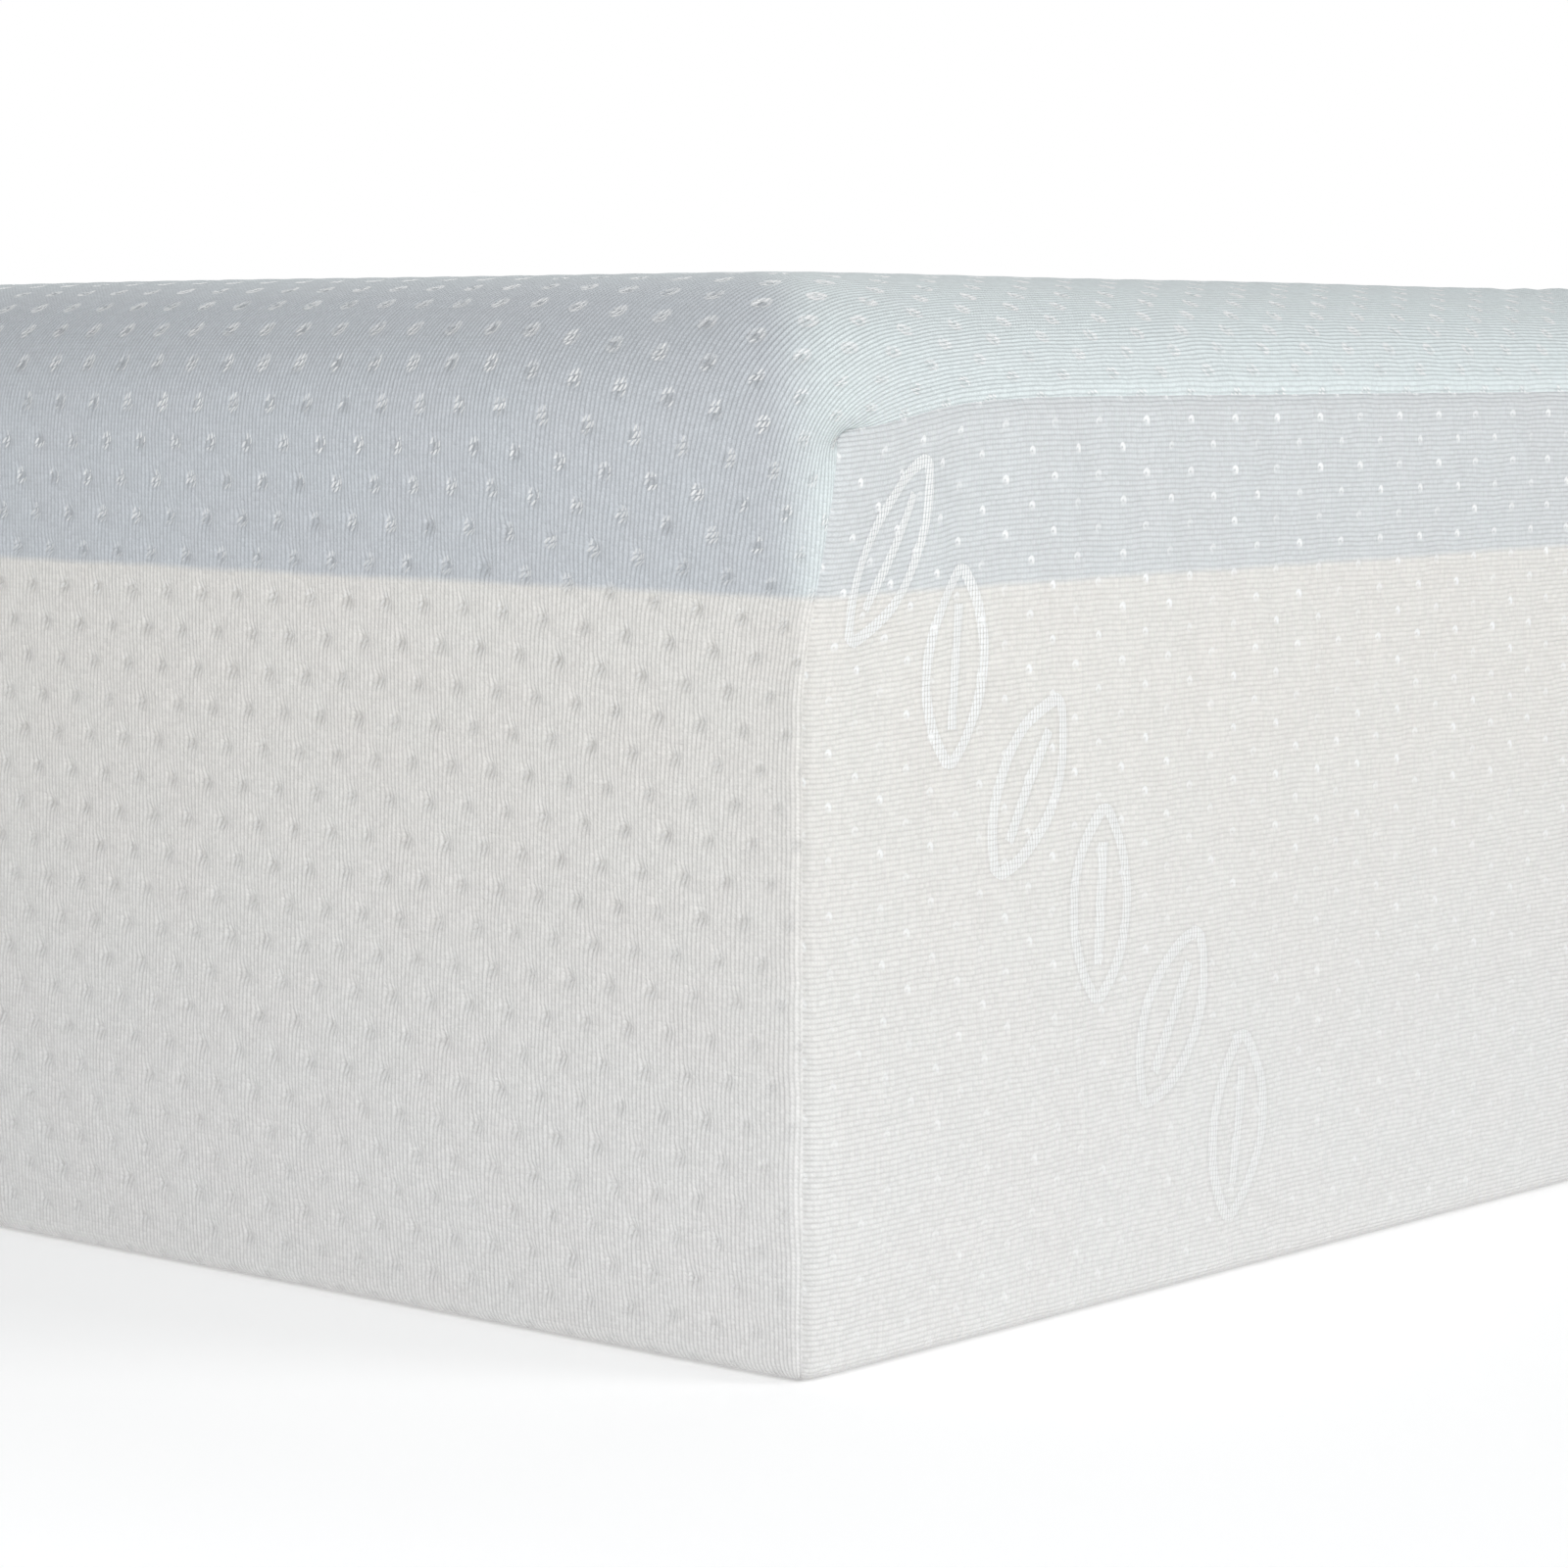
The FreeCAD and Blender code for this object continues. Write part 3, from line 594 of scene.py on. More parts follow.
def make_head_panel(name, low, high, slot_edge):
    """A panel of the head end. One of its edges is folded in along the zip's slot."""
    tuck = SLOT_TURN * (pi / 2 - 1) + 1.6
    start, stop = (low - tuck, high) if slot_edge == low else (low, high + tuck)
    columns, rows = round(2 * HALF_WIDE / 2.3), round((stop - start) / 1.55)
    i, j, corners, sizes = plain_grid(columns, rows)
    y = i * 2 * HALF_WIDE / columns - HALF_WIDE
    girth = start + j * (stop - start) / rows
    inward = 1 if slot_edge == low else -1
    past = (slot_edge + inward * SLOT_TURN - girth) * inward
    angle = np.clip(past / SLOT_TURN, 0, pi / 2)
    points, facing, gap = place_end(y, np.where(past > 0, girth + inward * past, girth))
    maps = end_maps(y, girth)
    calm = ease(-3, 16, girth) * ease(-1, 6, gap) * (1 - ease(-6, 0, past))
    lift = calm * 0.5 * relief(*maps["dots"], END_DOT, END_ROW, lean=0)
    lift = lift + crease(gap) * ease(-4, 4, girth)
    flat = ease(-30, 0, past) * ease(4, 26, HALF_WIDE - abs(y))
    lift = lift + unevenness(points) * ease(0, 40, girth) * (1 - flat)
    lift = lift - 0.35 * bell(past + SLOT_TURN + 3.0, 0.9) * ease(0, 10, gap)
    points = settle(points, facing, lift)
    tucked = np.maximum(past - SLOT_TURN * pi / 2, 0)
    points[:, 0] -= SLOT_TURN * (1 - np.cos(angle)) + tucked
    points[:, 2] -= inward * SLOT_TURN * np.sin(angle)
    points[:, 0] *= -1
    return new_mesh(name, points, corners[::-1], sizes[::-1], maps)


def make_end_tab(name, side):
    """Cloth that closes the slot beyond each end of the zip."""
    inner = box_mm("zip_end_tab_left")[0][1]
    columns, rows = 24, 10
    i, j, corners, sizes = plain_grid(columns, rows)
    along, height = i / columns, SLOT_LOW - 1.5 + (SLOT_HIGH - SLOT_LOW + 3) * j / rows
    reach = along * (HALF_WIDE - inner + TAB_TUCK)
    from_end = np.maximum(reach - TAB_TUCK, 0)
    points, facing, gap = place_end(inner + from_end, height)
    from_side = HALF_WIDE - inner - from_end
    uneven = unevenness(points) * (1 - ease(4, 26, from_side))
    points = settle(points, facing, crease(gap) - 0.9 * ease(0, 5, from_side) + uneven)
    points[:, 0] -= 2.2 * (reach < 2.4)
    points[:, 0] *= -1
    points[:, 1] *= side
    if side > 0:
        corners, sizes = corners[::-1], sizes[::-1]
    stitch = (height / WALE, along * 27 / COURSE)
    maps = {"stitch": stitch, "dots": (0.25 + 0 * along, 0 * along)}
    return new_mesh(name, points, corners, sizes, maps)


def make_base_panel():
    wide, long = 44, 94
    i, j, corners, sizes = plain_grid(long, wide)
    x, y = (i / long * 2 - 1) * BASE_HALF_LONG, (j / wide * 2 - 1) * BASE_HALF_WIDE
    points = xyz(x, y, 0)
    return new_mesh("CoverBase", points, corners[::-1], sizes, {"stitch": (x / WALE, y / COURSE)})


# ---- foam inside the cover

FOAM_INSET = 5.0  # from the cover's form, clear of the zip's slider
REFLEX_LOW, REFLEX_HIGH, MEMORY_HIGH = 2.5, 127.5, 177.5  # heights of the layers


def make_foam(name, low, high):
    """A foam layer whose outline keeps inside the cover's own form."""
    turn = np.linspace(0, pi / 2, 13)
    bulge = list(zip(np.cos(turn), np.sin(turn)))
    around = []
    for sign_x, sign_y, order in ((1, 1, 1), (-1, 1, -1), (-1, -1, 1), (1, -1, -1)):
        around += [(u, v, sign_x, sign_y) for u, v in bulge[::order]]
    u, v, sign_x, sign_y = np.array(around).T
    levels = [(1, level) for level in np.linspace(low, high, 9)]
    if high > TOP - SHOULDER_DOWN:
        levels += [(1 - rise, TOP) for rise in np.linspace(0.35, 1, 14)]
    rings = []
    for out, level in levels:
        ring = onto_form(xyz(CORE[0] + u * REACH[0] * out, CORE[1] + v * REACH[1] * out, level))
        ring = ring - form_normal(ring) * FOAM_INSET
        ring[:, 2] = np.clip(ring[:, 2], low, high)
        rings.append(ring)
    points = np.concatenate(rings)
    points[:, 0] *= np.tile(sign_x, len(rings))
    points[:, 1] *= np.tile(sign_y, len(rings))
    count = len(around)
    faces = []
    for ring in range(len(rings) - 1):
        for k in range(count):
            a, b = ring * count + k, ring * count + (k + 1) % count
            faces.append([a, b, b + count, a + count])
    faces.append(list(range(count))[::-1])
    faces.append([len(points) - count + k for k in range(count)])
    return new_mesh(name, points, np.array([c for f in faces for c in f]), [len(f) for f in faces])


# ---- threads, zip and label

SEAM_THREAD = 0.4  # radius
STITCH_THREAD = 0.27
STITCH_STEP = 5.0
STITCH_REACH = 1.95  # half a stitch's length
COIL_PITCH = 1.6
COIL_WIRE = 0.31  # radius

def tubes(name, paths, radius, sides=6, closed=False):
    """Round cords along several paths of equally many points."""
    paths = np.asarray(paths, dtype=float)
    many, count, _ = paths.shape
    padded = np.pad(paths, ((0, 0), (1, 1), (0, 0)), mode="wrap" if closed else "edge")
    along = padded[:, 2:] - padded[:, :-2]
    along /= np.linalg.norm(along, axis=2, keepdims=True)
    up = np.where(abs(along[..., 2:]) > 0.9, [1.0, 0, 0], [0, 0, 1.0])
    side = np.cross(along, up)
    side /= np.linalg.norm(side, axis=2, keepdims=True)
    up = np.cross(side, along)
    turn = np.arange(sides) * 2 * pi / sides
    ring = np.cos(turn)[:, None] * side[:, :, None] + np.sin(turn)[:, None] * up[:, :, None]
    points = (paths[:, :, None] + radius * ring).reshape(-1, 3)
    start = np.arange(many)[:, None, None] * count * sides
    steps = np.arange(count if closed else count - 1)
    this, after = steps[None, :, None] * sides, (steps[None, :, None] + 1) % count * sides
    k, n = np.arange(sides), (np.arange(sides) + 1) % sides
    quads = np.stack([start + this + k, start + this + n, start + after + n, start + after + k], -1)
    corners = quads.reshape(-1)
    sizes = [4] * (len(corners) // 4)
    if not closed:
        first = (start[:, 0] + k[::-1]).reshape(-1)
        last = (start[:, 0] + (count - 1) * sides + k).reshape(-1)
        corners = np.concatenate([corners, first, last])
        sizes = sizes + [sides] * (2 * many)
    return new_mesh(name, points, corners, np.array(sizes))


def end_seam(name, sign):
    """The thread in the crease round an end panel, from floor to floor."""
    up = np.arange(HEM_RADIUS, PANEL_TOP, 1.5)
    across = np.arange(0, HALF_WIDE, 1.5)
    half = seam_path(np.concatenate([up, PANEL_TOP + across]))
    half = half - form_normal(half) * (CREASE_DEEP + 0.8)
    half = settle(half, form_normal(half), unevenness(half) * ease(0, 40, half[:, 2]))
    whole = np.concatenate([half, half[::-1] * [1, -1, 1]])
    return tubes(name, [whole * [sign, 1, 1]], SEAM_THREAD)


def base_seam():
    x, y = BASE_HALF_LONG, BASE_HALF_WIDE
    corners = [(x, y), (-x, y), (-x, -y), (x, -y)]
    path = []
    for (x0, y0), (x1, y1) in zip(corners, corners[1:] + corners[:1]):
        path += [(x0 + (x1 - x0) * k / 40, y0 + (y1 - y0) * k / 40, 0.35) for k in range(40)]
    return tubes("SeamBase", [path], SEAM_THREAD, closed=True)


def stitches(name, count, middle, level, surface):
    """A row of sewn stitches, each dipping into the cloth at both ends."""
    reach = np.linspace(-1, 1, 7)
    paths = []
    for number in range(count):
        y = middle + (number - (count - 1) / 2) * STITCH_STEP + reach * STITCH_REACH
        x = surface - 0.28 + 0.55 * abs(reach) ** 3
        z = level + 0.12 * reach
        paths.append(xyz(x, y, z))
    return tubes(name, paths, STITCH_THREAD)


def coil(name, side):
    """One side of the nylon coil: a wire wound along the tape, with its heads at the middle."""
    low, high = box_mm("zip_coil_upper")
    turns = int((high[1] - low[1] - 1) / COIL_PITCH)
    steps = 10
    angle = np.arange(turns * steps) / steps * 2 * pi
    y = low[1] + 0.6 + angle / (2 * pi) * COIL_PITCH + (0 if side > 0 else COIL_PITCH / 2)
    reach = (high[2] - low[2]) / 2 - 0.30
    middle = (high[2] + low[2]) / 2 - ZIP_LEVEL
    wave = np.cos(angle)
    z = middle - 0.25 + reach * np.sign(wave) * abs(wave) ** 0.6
    depth = (high[0] - low[0]) / 2 - 0.32
    wave = np.sin(angle)
    x = (high[0] + low[0]) / 2 + depth * np.sign(wave) * abs(wave) ** 0.6
    path = xyz(x, y, ZIP_LEVEL + side * z)
    return tubes(name, [path], COIL_WIRE, sides=5)


def make_tape(name, node):
    low, high = box_mm(node)
    columns, rows = 214, 4
    i, j, corners, sizes = plain_grid(columns, rows)
    y = low[1] + (high[1] - low[1]) * i / columns
    z = low[2] + (high[2] - low[2]) * j / rows
    points = xyz(low[0] + 0.35 + 0.1 * np.sin(y / 31), y, z)
    return new_mesh(name, points, corners[::-1], sizes, {"stitch": (y / 0.6, z / 0.6)})


def make_label():
    low, high = box_mm("care_label")
    columns, rows = 60, 40
    i, j, corners, sizes = plain_grid(columns, rows)
    u, v = i / columns, j / rows
    y, z = low[1] + (high[1] - low[1]) * u, low[2] + (high[2] - low[2]) * v
    free = 1 - v
    lift = 0.25 + free**2 * (1.1 + 0.9 * np.sin(u * 5.2 + 0.6)) + 0.12 * bell(free - 0.06, 0.04)
    points = xyz(HEAD_FACE - 0.5 - lift, y, z)
    return new_mesh("CareLabel", points, corners[::-1], sizes, {"stitch": (y / 0.35, z / 0.35)})


# ---- shader arithmetic


def operator(kind):
    """A method of Value for one of Python's signs."""
    return lambda self, other: self.math(kind, other)


class Value:
    """A number in a material, which combines by ordinary operators."""

    def __init__(self, mat, socket):
        self.mat, self.socket = mat, socket

    def math(self, kind, *others):
        node = self.mat.node("Math", enumerate((self, *others)), operation=kind)
        return Value(self.mat, node.outputs[0])

    __add__ = __radd__ = operator("ADD")
    __mul__ = __rmul__ = operator("MULTIPLY")
    __sub__ = operator("SUBTRACT")
    __truediv__ = operator("DIVIDE")
    __pow__ = operator("POWER")

    def __rsub__(self, other):
        return self * -1 + other

    def __abs__(self):
        return self.math("ABSOLUTE")

    def wave(self):
        """A cosine with a period of one."""
        return (self * (2 * pi)).math("COSINE")

    def part(self):
        """The part past the whole number, from -0.5 to 0.5, with 0 at whole numbers."""
        return self - self.math("ROUND")

    def smooth(self, low, high):
        """0 up to low, 1 past high, and a smooth step between."""
        ends = {"Value": self, "From Min": low, "From Max": high}
        node = self.mat.node("MapRange", ends, interpolation_type="SMOOTHSTEP")
        return Value(self.mat, node.outputs["Result"])


class Shader:
    """A material in the making: one Principled surface and the nodes that feed it."""

    def __init__(self, name, **constants):
        self.material = bpy.data.materials.new(name)
        self.material.use_nodes = True
        self.tree = self.material.node_tree
        self.surface = self.tree.nodes["Principled BSDF"]
        for key, value in constants.items():
            self.surface.inputs[key.replace("_", " ")].default_value = value

    def node(self, kind, feeds=(), **settings):
        """A new node. feeds says what goes into its inputs, by their names or numbers."""
        node = self.tree.nodes.new("ShaderNode" + kind)
        for key, value in settings.items():
            setattr(node, key, value)
        for key, item in dict(feeds).items():
            self.feed(node.inputs[key], item)
        return node

    def feed(self, socket, item):
        if isinstance(item, Value):
            self.tree.links.new(item.socket, socket)
        elif isinstance(item, bpy.types.NodeSocket):
            self.tree.links.new(item, socket)
        elif isinstance(item, (int, float)):
            socket.default_value = item
        else:
            socket.default_value = (*item, 1)

    def apart(self, vector):
        """A vector's three numbers."""
        parts = self.node("SeparateXYZ", {0: vector})
        return [Value(self, socket) for socket in parts.outputs]

    def uv(self, title):
        return self.apart(self.node("UVMap", uv_map=title).outputs[0])[:2]

    def spot(self):
        """The place in object space, in metres."""
        return self.node("TexCoord").outputs["Object"]

    def place(self):
        """x, y and z in millimetres."""
        return [axis * 1000 for axis in self.apart(self.spot())]

    def together(self, *values):
        return self.node("CombineXYZ", enumerate(values)).outputs[0]

    def noise(self, scale, detail, spot=None):
        """Noise from about 0 to 1. Without a spot it lies in object space, in metres."""
        feeds = {"Vector": spot or self.spot(), "Scale": scale, "Detail": detail}
        return Value(self, self.node("TexNoise", feeds).outputs[0])

    def chance(self, *values):
        """A random number for each cell."""
        node = self.node("TexWhiteNoise", {"Vector": self.together(*values)}, noise_dimensions="3D")
        return Value(self, node.outputs["Value"])

    def mix(self, share, first, second, kind="MIX"):
        feeds = {"Factor": share, 6: first, 7: second}
        return self.node("Mix", feeds, data_type="RGBA", blend_type=kind).outputs[2]

    def tone(self, colour, value):
        """A colour made lighter or darker by a value round 1."""
        grey = self.together(value, value, value)
        return self.mix(1.0, colour, grey, "MULTIPLY")

    def done(self, colour, height=None, roughness=None):
        """Feed the surface. height is in millimetres."""
        self.feed(self.surface.inputs["Base Color"], colour)
        if roughness is not None:
            self.feed(self.surface.inputs["Roughness"], roughness)
        if height is not None:
            node = self.node("Bump", {"Strength": 1.0, "Distance": MM, "Height": height})
            self.feed(self.surface.inputs["Normal"], node.outputs[0])
        return self.material


# ---- materials

CREAM = (0.768, 0.757, 0.727)
PLAIN_WHITE = (0.768, 0.766, 0.756)
# Blue of the memory foam showing through the cloth, one copy for each face. The copies also hold
# painted light and shade: the top's is painted lighter and the long sides' darker than the end panels'.
BLUE_BEHIND_SIDE_SHADED = (0.552, 0.583, 0.615)
BLUE_BEHIND_TOP_LIT = (0.700, 0.765, 0.770)
BLUE_BEHIND_END = (0.630, 0.655, 0.667)
FILAMENT = (0.96, 0.97, 0.97)


def leaf_gap_value(mat):
    """The same as leaf_gap, for a material."""
    y, height = mat.uv("panel")
    chain = (y / LEAF_REPEAT).math("FRACT") * LEAF_REPEAT
    best = None
    for u, v in each_leaf(chain, height):
        rise = abs(v) + LEAF_BACK
        outline = abs((u * u + rise * rise) ** 0.5 - LEAF_RADIUS)
        outline = outline + abs(u).smooth(LEAF_LONG, LEAF_LONG + 1.5) * 5
        outline = outline.math("MINIMUM", abs(v).math("MAXIMUM", abs(u) - LEAF_RIB))
        best = outline if best is None else best.math("MINIMUM", outline)
    return best


def knit(name, dot, row, leaves=False, rings=True):
    """White double-jersey knit with tuck-stitch dimples, over foam that shows through.

    At each dimple the tucked filament shows: as short slanted strokes, or as a small ring.
    Its colour also holds painted light and shade: darker dimples and leaf grooves, a lighter top and
    darker long sides, and filament brighter higher up and on one side of each ring.
    """
    mat = Shader(name, Roughness=0.82, Sheen_Weight=0.18, Sheen_Roughness=0.35, Specular_IOR_Level=0.35)
    wale, course = mat.uv("stitch")
    across, along = mat.uv("dots")
    x, y, level = mat.place()
    # long_side marks the long sides. There it picks the blue painted darker as shade, makes the
    # dimples' painted shade stronger at the top of the sides, and weakens the rosettes.
    long_side = abs(y).smooth(400, 438) * (abs(y) - abs(x) + (HALF_LONG - HALF_WIDE)).smooth(-9, 9)

    wale = wale + (mat.noise(110, 1) - 0.5) * 0.9
    lane = wale.part()
    rib = 1 - (lane * 2) ** 2
    loop = (course + abs(lane) * 0.9).wave() * 0.5 + 0.5
    rise = rib * (loop * 0.42 + 0.58)
    odd = mat.chance(wale.math("ROUND"), course.math("FLOOR"), 0)
    fuzz = mat.noise(1700, 3)
    patches = mat.noise(70, 2)
    streaks = mat.noise(1, 2, mat.together(wale * 0.9, course * 0.08, 0))

    i, j = (across * 2).math("ROUND"), (along * 2).math("ROUND")
    u, v = (across * 2 - i) * (dot / 2), (along * 2 - j) * row
    here = 1 - abs(((i + j) * 0.5).part()) * 2
    luck = mat.chance(i, j, 4)
    gap = (u * u + v * v) ** 0.5
    if rings:
        stroke = 1 - abs(gap - 0.55).smooth(0.20, 0.44)
        # Painted highlight: each ring is brighter on one side, as if lit from there.
        ring_lit_side = ((u + v * (luck * 2 - 1)) / 0.9).smooth(-0.8, 0.3)
        # Painted light: the rings are brighter higher up and dimmer towards the floor.
        ring_light_by_height = level.smooth(20, 135) * 0.55 + 0.45
        shine = stroke * here * (ring_lit_side * 0.8 + 0.2) * (luck * 0.7 + 0.3) * ring_light_by_height
        pit_shade = 0
    else:
        step = (v + u * 0.35) / 1.2
        bar = 1 - abs((u / 0.93).part() + step.part() * 0.6).smooth(0.20, 0.40)
        bar = bar * (1 - abs(step.part()).smooth(0.34, 0.48))
        kept = mat.chance((u / 0.93).math("ROUND"), step.math("ROUND"), i * 3.7 + j)
        bar = bar * kept.smooth(0.15, 0.55)
        stroke = bar * (1 - (gap + abs(u) * 0.25).smooth(1.3, 2.1))
        # Painted light: the strokes are brighter higher up and dimmer towards the floor.
        upper = level.smooth(110, 155) * 0.75 + 0.25
        shine = stroke * here * upper * (luck * 0.4 + 0.6)
        stitch = mat.chance((u / 0.7).math("ROUND"), (v / 0.55).math("ROUND"), i * 3.7 + j)
        rosette = (1 - abs(gap - 1.1).smooth(0.40, 0.65)) * stitch.smooth(0.1, 0.5) * here
        shine = shine.math("MAXIMUM", rosette * level.smooth(160, 176) * (1 - long_side * 0.55))
        # Painted shade in the dimples: the middle of each is painted darker, more so higher up and at
        # the top of the long sides, less over the top itself.
        pit_shade = (1 - (gap + v * 0.25).smooth(0.3, 1.9)) * here
        on_top = level.smooth(140, 172) * (long_side * 0.12 - 0.07)
        pit_shade = pit_shade * (0.09 + level.smooth(20, 130) * 0.09 + on_top)
    if leaves:
        leaf = leaf_gap_value(mat)
        rung = 1 - abs(course.part()).smooth(0.28, 0.46)
        sewn = (1 - leaf.smooth(1.0, 1.3)) * rung * (rib.smooth(0.0, 0.4) * 0.35 + 0.65)
        # Painted shade: a darker band just outside each leaf's outline, as the groove's shadow.
        pit_shade = (1 - leaf.smooth(1.2, 2.2)) * 0.06
        # Painted light: the leaves' bright stitches are brighter higher up.
        shine = shine.math("MAXIMUM", sewn * (level.smooth(20, 130) * 0.4 + 0.6))

    above = (level + patches * 1.2).smooth(FOAM_LINE - 0.2, FOAM_LINE + 1.5)
    below = mat.mix(level.smooth(15, 115), PLAIN_WHITE, CREAM)
    # Painted light and shade by face: the blue is lighter over the top and darker on the long sides.
    near_end = BLUE_BEHIND_END if rings else BLUE_BEHIND_TOP_LIT
    behind = mat.mix(long_side, near_end, BLUE_BEHIND_SIDE_SHADED)
    colour = mat.mix(above, below, behind)
    colour = mat.mix(patches.smooth(0.35, 0.65) * 0.5, colour, (1.0, 0.985, 0.985), "MULTIPLY")
    tone = rise * (above * 0.07 + 0.13) + (odd - 0.5) * 0.08 + (fuzz - 0.5) * 0.10
    tone = tone + (streaks - 0.5) * 0.04 + 0.935 - pit_shade
    colour = mat.tone(colour, tone)
    colour = mat.mix(shine, colour, FILAMENT)

    height = rise * 0.24 + fuzz * 0.05 + odd * 0.03 + shine * 0.08
    return mat.done(colour, height, 0.85 - shine * 0.45)


GRIP_APART = 12.0  # from one grip dot of the underside to the next
GRIP_RADIUS = 1.3


def plain_weave(name, tint):
    """Plain woven cloth, such as the zip's tapes."""
    mat = Shader(name, Roughness=0.8, Sheen_Weight=0.1)
    across, along = mat.uv("stitch")
    over = across.wave() * along.wave()
    fuzz = mat.noise(1500, 3)
    odd = mat.chance(across.math("ROUND"), along.math("ROUND"), 1)
    tone = over * 0.03 + (fuzz - 0.5) * 0.12 + (odd - 0.5) * 0.05 + 1
    return mat.done(mat.tone(tint, tone), over * 0.05 + fuzz * 0.04)


def grip_cloth(name, tint):
    """Warp-knit cloth of the underside, with small printed dots that keep it from slipping."""
    mat = Shader(name, Roughness=0.8, Sheen_Weight=0.1)
    across, along = mat.uv("stitch")
    loop = across.wave() * along.wave()
    x, y, _ = mat.place()
    i, j = (x / GRIP_APART).math("ROUND"), (y / GRIP_APART).math("ROUND")
    gap = ((x - i * GRIP_APART) ** 2 + (y - j * GRIP_APART) ** 2) ** 0.5
    dot = 1 - gap.smooth(GRIP_RADIUS - 0.2, GRIP_RADIUS + 0.2)
    tone = loop * 0.03 + (mat.noise(1500, 3) - 0.5) * 0.12 + 1
    colour = mat.mix(dot, mat.tone(tint, tone), (0.66, 0.66, 0.64))
    return mat.done(colour, loop * 0.08 + dot * 0.35, 0.8 - dot * 0.35)


def satin(name, tint):
    """Shiny woven ribbon with fine ribs across it."""
    mat = Shader(name, Roughness=0.38, Sheen_Weight=0.05)
    across, along = mat.uv("stitch")
    rib = along.wave()
    grain = mat.noise(3, 3, mat.together(across * 0.15, along * 2, 0))
    tone = rib * 0.015 + (grain - 0.5) * 0.08 + 1
    return mat.done(mat.tone(tint, tone), rib * 0.02 + grain * 0.02, grain * 0.15 + 0.33)


def open_foam(name, tint, cell):
    """Open-cell foam, with cells of about this many millimetres."""
    mat = Shader(name, Roughness=0.9)
    feeds = {"Vector": mat.spot(), "Scale": 1000 / cell}
    node = mat.node("TexVoronoi", feeds, feature="SMOOTH_F1")
    pore = Value(mat, node.outputs["Distance"])
    broad = mat.noise(60, 3)
    # Painted shade: each pore is darker than the cell walls round it.
    tone = pore * 0.35 + (broad - 0.5) * 0.06 + 0.85
    return mat.done(mat.tone(tint, tone), pore * 0.25)


def thread(name, tint):
    """Twisted polyester sewing thread."""
    mat = Shader(name, Roughness=0.55, Sheen_Weight=0.15)
    x, y, z = mat.place()
    twist = ((x + y) * 1.4 + z * 2.2).wave()
    fuzz = mat.noise(2500, 2)
    tone = twist * 0.05 + (fuzz - 0.5) * 0.12 + 1
    return mat.done(mat.tone(tint, tone), twist * 0.05 + fuzz * 0.03)


def nylon(name, tint):
    mat = Shader(name, Roughness=0.32)
    fine = mat.noise(900, 2)
    return mat.done(mat.tone(tint, (fine - 0.5) * 0.06 + 1), fine * 0.02, fine * 0.12 + 0.28)


def painted_metal(name, tint):
    """White enamel over die-cast metal, a little worn."""
    mat = Shader(name, Roughness=0.3, Coat_Weight=0.4, Coat_Roughness=0.12)
    orange_peel = mat.noise(700, 2)
    wear = mat.noise(260, 4)
    tone = (wear - 0.5) * 0.08 + 1
    return mat.done(mat.tone(tint, tone), orange_peel * 0.03, wear * 0.2 + 0.22)


def glue_film(name, tint):
    mat = Shader(name, Roughness=0.35)
    broad = mat.noise(45, 3)
    return mat.done(mat.tone(tint, (broad - 0.5) * 0.15 + 1), broad * 0.1, broad * 0.3 + 0.2)


# ---- build the object

wrap_knit = knit("knit_wrap", DOT, ROW, rings=False)
end_knit = knit("knit_foot_end", END_DOT, END_ROW, leaves=True)
head_knit = knit("knit_head_end", END_DOT, END_ROW)
base_cloth = grip_cloth("base_cloth", (0.74, 0.74, 0.72))
white_thread = thread("white_thread", (0.82, 0.82, 0.81))

base_foam = make_foam("ReflexFoam", REFLEX_LOW, REFLEX_HIGH)
cream_foam = open_foam("reflex_foam", (0.80, 0.77, 0.66), 1.0)
add_piece(base_foam, cream_foam, "reflex_foam_base")
top_foam = make_foam("MemoryFoam", FOAM_LINE, MEMORY_HIGH)
blue_foam = open_foam("memory_foam", (0.36, 0.60, 0.78), 0.7)
add_piece(top_foam, blue_foam, "memory_foam_layer")


def add_panel(piece, node, cloth=head_knit):
    return add_piece(piece, cloth, node)


wrap = add_panel(make_wrap(), "cover_wrap_panel", wrap_knit)
foot = add_panel(make_foot_panel(), "cover_foot_end_panel", end_knit)
head_upper = make_head_panel("CoverHeadUpper", SLOT_HIGH, PANEL_TOP, SLOT_HIGH)
add_panel(head_upper, "cover_head_end_upper_panel")
head_lower = make_head_panel("CoverHeadLower", T_START, SLOT_LOW, SLOT_LOW)
add_panel(head_lower, "cover_head_end_lower_panel")
tabs = [
    add_panel(make_end_tab("ZipTabLeft", 1), "zip_end_tab_left"),
    add_panel(make_end_tab("ZipTabRight", -1), "zip_end_tab_right"),
]
base = add_piece(make_base_panel(), base_cloth, "cover_base_panel")

for piece, node in (
    (end_seam("SeamFootEnd", 1), "seam_foot_end_thread"),
    (end_seam("SeamHeadEnd", -1), "seam_head_end_thread"),
    (base_seam(), "seam_base_thread"),
    (stitches("ZipStitchUpper", 166, 0, SLOT_HIGH + 3, HEAD_FACE), "zip_topstitch_upper"),
    (stitches("ZipStitchLower", 166, 0, SLOT_LOW - 3, HEAD_FACE), "zip_topstitch_lower"),
):
    add_piece(piece, white_thread, node)

tape_weave = plain_weave("zip_tape_weave", (0.80, 0.80, 0.79))
tapes = [
    add_piece(make_tape(name, node), tape_weave, node)
    for name, node in (("ZipTapeUpper", "zip_tape_upper"), ("ZipTapeLower", "zip_tape_lower"))
]
coil_nylon = nylon("zip_nylon", (0.82, 0.82, 0.81))
add_piece(coil("ZipCoilUpper", 1), coil_nylon, "zip_coil_upper")
add_piece(coil("ZipCoilLower", -1), coil_nylon, "zip_coil_lower")

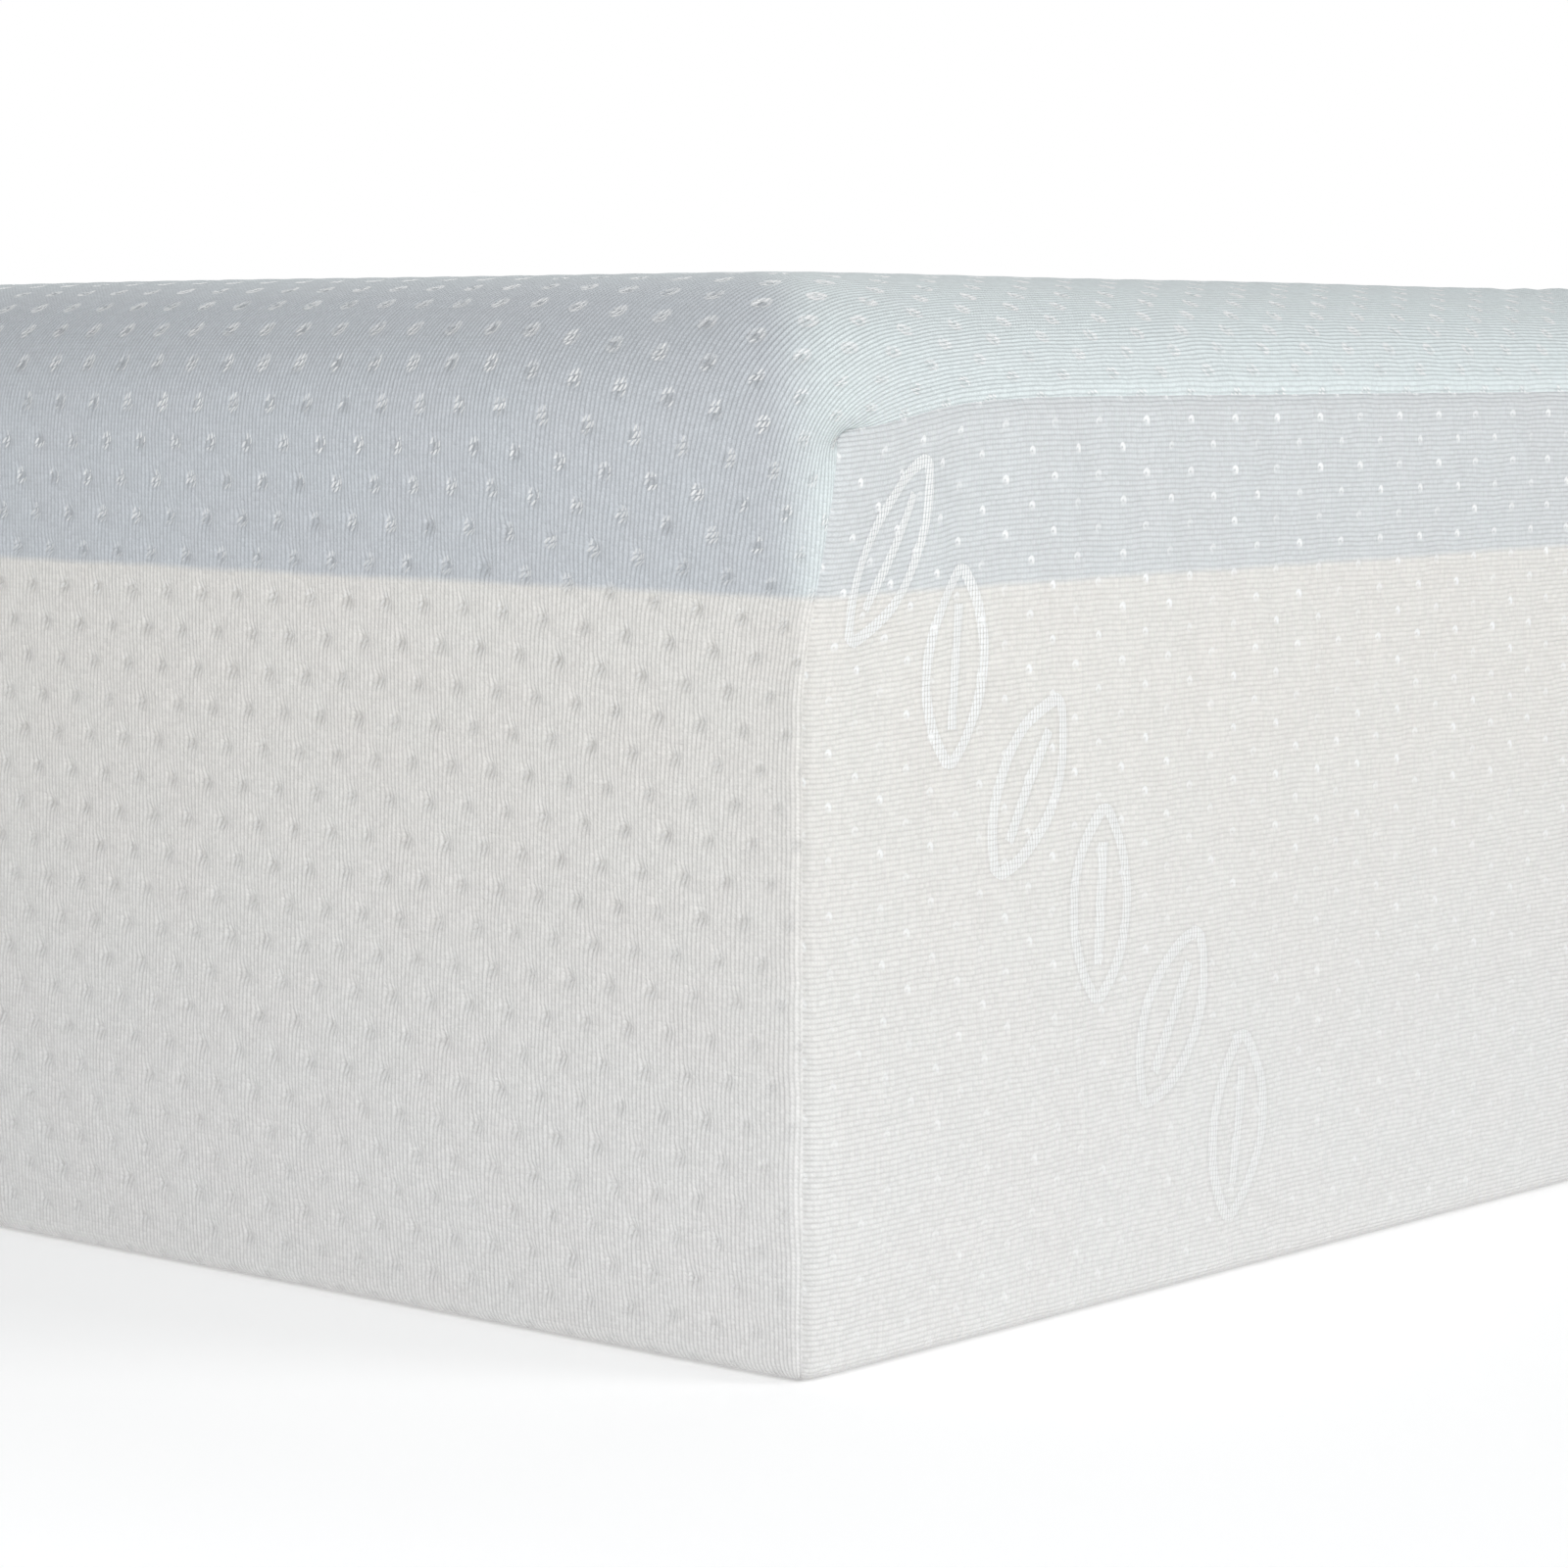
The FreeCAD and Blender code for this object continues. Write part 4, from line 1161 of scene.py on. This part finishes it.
ribbon = satin("label_satin", (0.84, 0.84, 0.83))
label = add_piece(make_label(), ribbon, "care_label")
low, high = box_mm("care_label")
label_row = stitches("LabelStitch", 11, (low[1] + high[1]) / 2, high[2] - 2.5, HEAD_FACE - 0.75)
add_piece(label_row, white_thread, "care_label_stitching")

# The CAD solids that stay in view.
metal = painted_metal("zip_enamel", (0.84, 0.84, 0.83))
zip_metal = ("zip_slider_body", "zip_pull_bridge", "zip_pull_tab", "zip_top_stops", "zip_bottom_stop")
dressed = dict.fromkeys(zip_metal, metal)
dressed["foam_bond_layer"] = glue_film("foam_glue", (0.80, 0.77, 0.62))
for node, material in dressed.items():
    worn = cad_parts[node].data.materials
    worn.clear()
    worn.append(material)

# ---- the soft pieces, listed as sheets with flat sizes in metres and the pieces each lies on

foams, heads = [base_foam, top_foam], [head_upper, head_lower]
sheets = [
    (wrap, (T_LONG * MM, S_LONG * MM), foams),
    (foot, (0.90, (PANEL_TOP - T_START) * MM), foams),
    (head_upper, (0.90, 0.096), foams),
    (head_lower, (0.90, 0.070), [base_foam]),
    (base, (2 * BASE_HALF_WIDE * MM, 2 * BASE_HALF_LONG * MM), [base_foam]),
]
sheets += [(tab, (0.0315, 0.013), heads) for tab in tabs]
sheets += [(tape, (0.856, 0.016), heads) for tape in tapes]

# ---- floor, light and camera

EYE_TURN = radians(40.7)
EYE_PITCH = radians(5.70)
EYE_AWAY = 0.748
EYE_ASIDE = -0.0032
EYE_HEIGHT = 0.1729


def make_floor():
    mesh = bpy.data.meshes.new("Floor")
    mesh.from_pydata([(-30, -30, 0), (30, -30, 0), (30, 30, 0), (-30, 30, 0)], [], [(0, 1, 2, 3)])
    floor = new_object("Floor", mesh)
    floor.location.z = -0.0004
    mat = Shader("floor", Roughness=0.9, Emission_Strength=0.26)
    floor.data.materials.append(mat.done((0.9, 0.9, 0.9)))


def make_world():
    """Soft, even light. The camera sees a plain white backdrop behind the object."""
    world = bpy.data.worlds.new("Studio")
    bpy.context.scene.world = world
    world.use_nodes = True
    tree = world.node_tree
    tree.nodes.clear()
    kinds = ("Background", "Background", "MixShader", "LightPath", "OutputWorld")
    light, backdrop, pick, seen, out = (tree.nodes.new("ShaderNode" + kind) for kind in kinds)
    for node, colour, strength in ((light, (0.97, 0.985, 1.0, 1), 0.46), (backdrop, (1, 1, 1, 1), 1.0)):
        node.inputs["Color"].default_value = colour
        node.inputs["Strength"].default_value = strength
    tree.links.new(seen.outputs["Is Camera Ray"], pick.inputs[0])
    tree.links.new(light.outputs[0], pick.inputs[1])
    tree.links.new(backdrop.outputs[0], pick.inputs[2])
    tree.links.new(pick.outputs[0], out.inputs[0])


def make_lamp(name, spot, aim, size, power):
    lamp = bpy.data.lights.new(name, "AREA")
    lamp.shape, lamp.size, lamp.energy = "DISK", size, power
    piece = new_object(name, lamp)
    piece.visible_camera = False
    piece.location = spot
    piece.rotation_euler = (Vector(aim) - Vector(spot)).to_track_quat("-Z", "Y").to_euler()


def make_camera():
    lens = bpy.data.cameras.new("Camera")
    lens.lens, lens.sensor_width, lens.clip_start, lens.clip_end = 108, 36, 0.05, 200
    camera = new_object("Camera", lens)
    ahead, aside = (-sin(EYE_TURN), cos(EYE_TURN)), (cos(EYE_TURN), sin(EYE_TURN))
    corner = (HALF_LONG * MM, -HALF_WIDE * MM)
    x, y = (corner[k] - EYE_AWAY * ahead[k] + EYE_ASIDE * aside[k] for k in range(2))
    camera.location = (x, y, EYE_HEIGHT)
    camera.rotation_euler = (pi / 2 - EYE_PITCH, 0, EYE_TURN)
    bpy.context.scene.camera = camera


make_floor()
make_world()
make_lamp("Key", (3.0, 0.6, 1.0), (0.93, -0.3, 0.08), 1.2, 20.5)
make_lamp("Fill", (1.4, -1.2, 0.48), (0.93, -0.42, 0.08), 0.5, 3.7)
make_lamp("Back", (-3.4, 2.4, 2.4), (-0.4, 0.1, 0.1), 3.0, 60)
make_camera()

scene = bpy.context.scene
scene.view_settings.view_transform = "Standard"
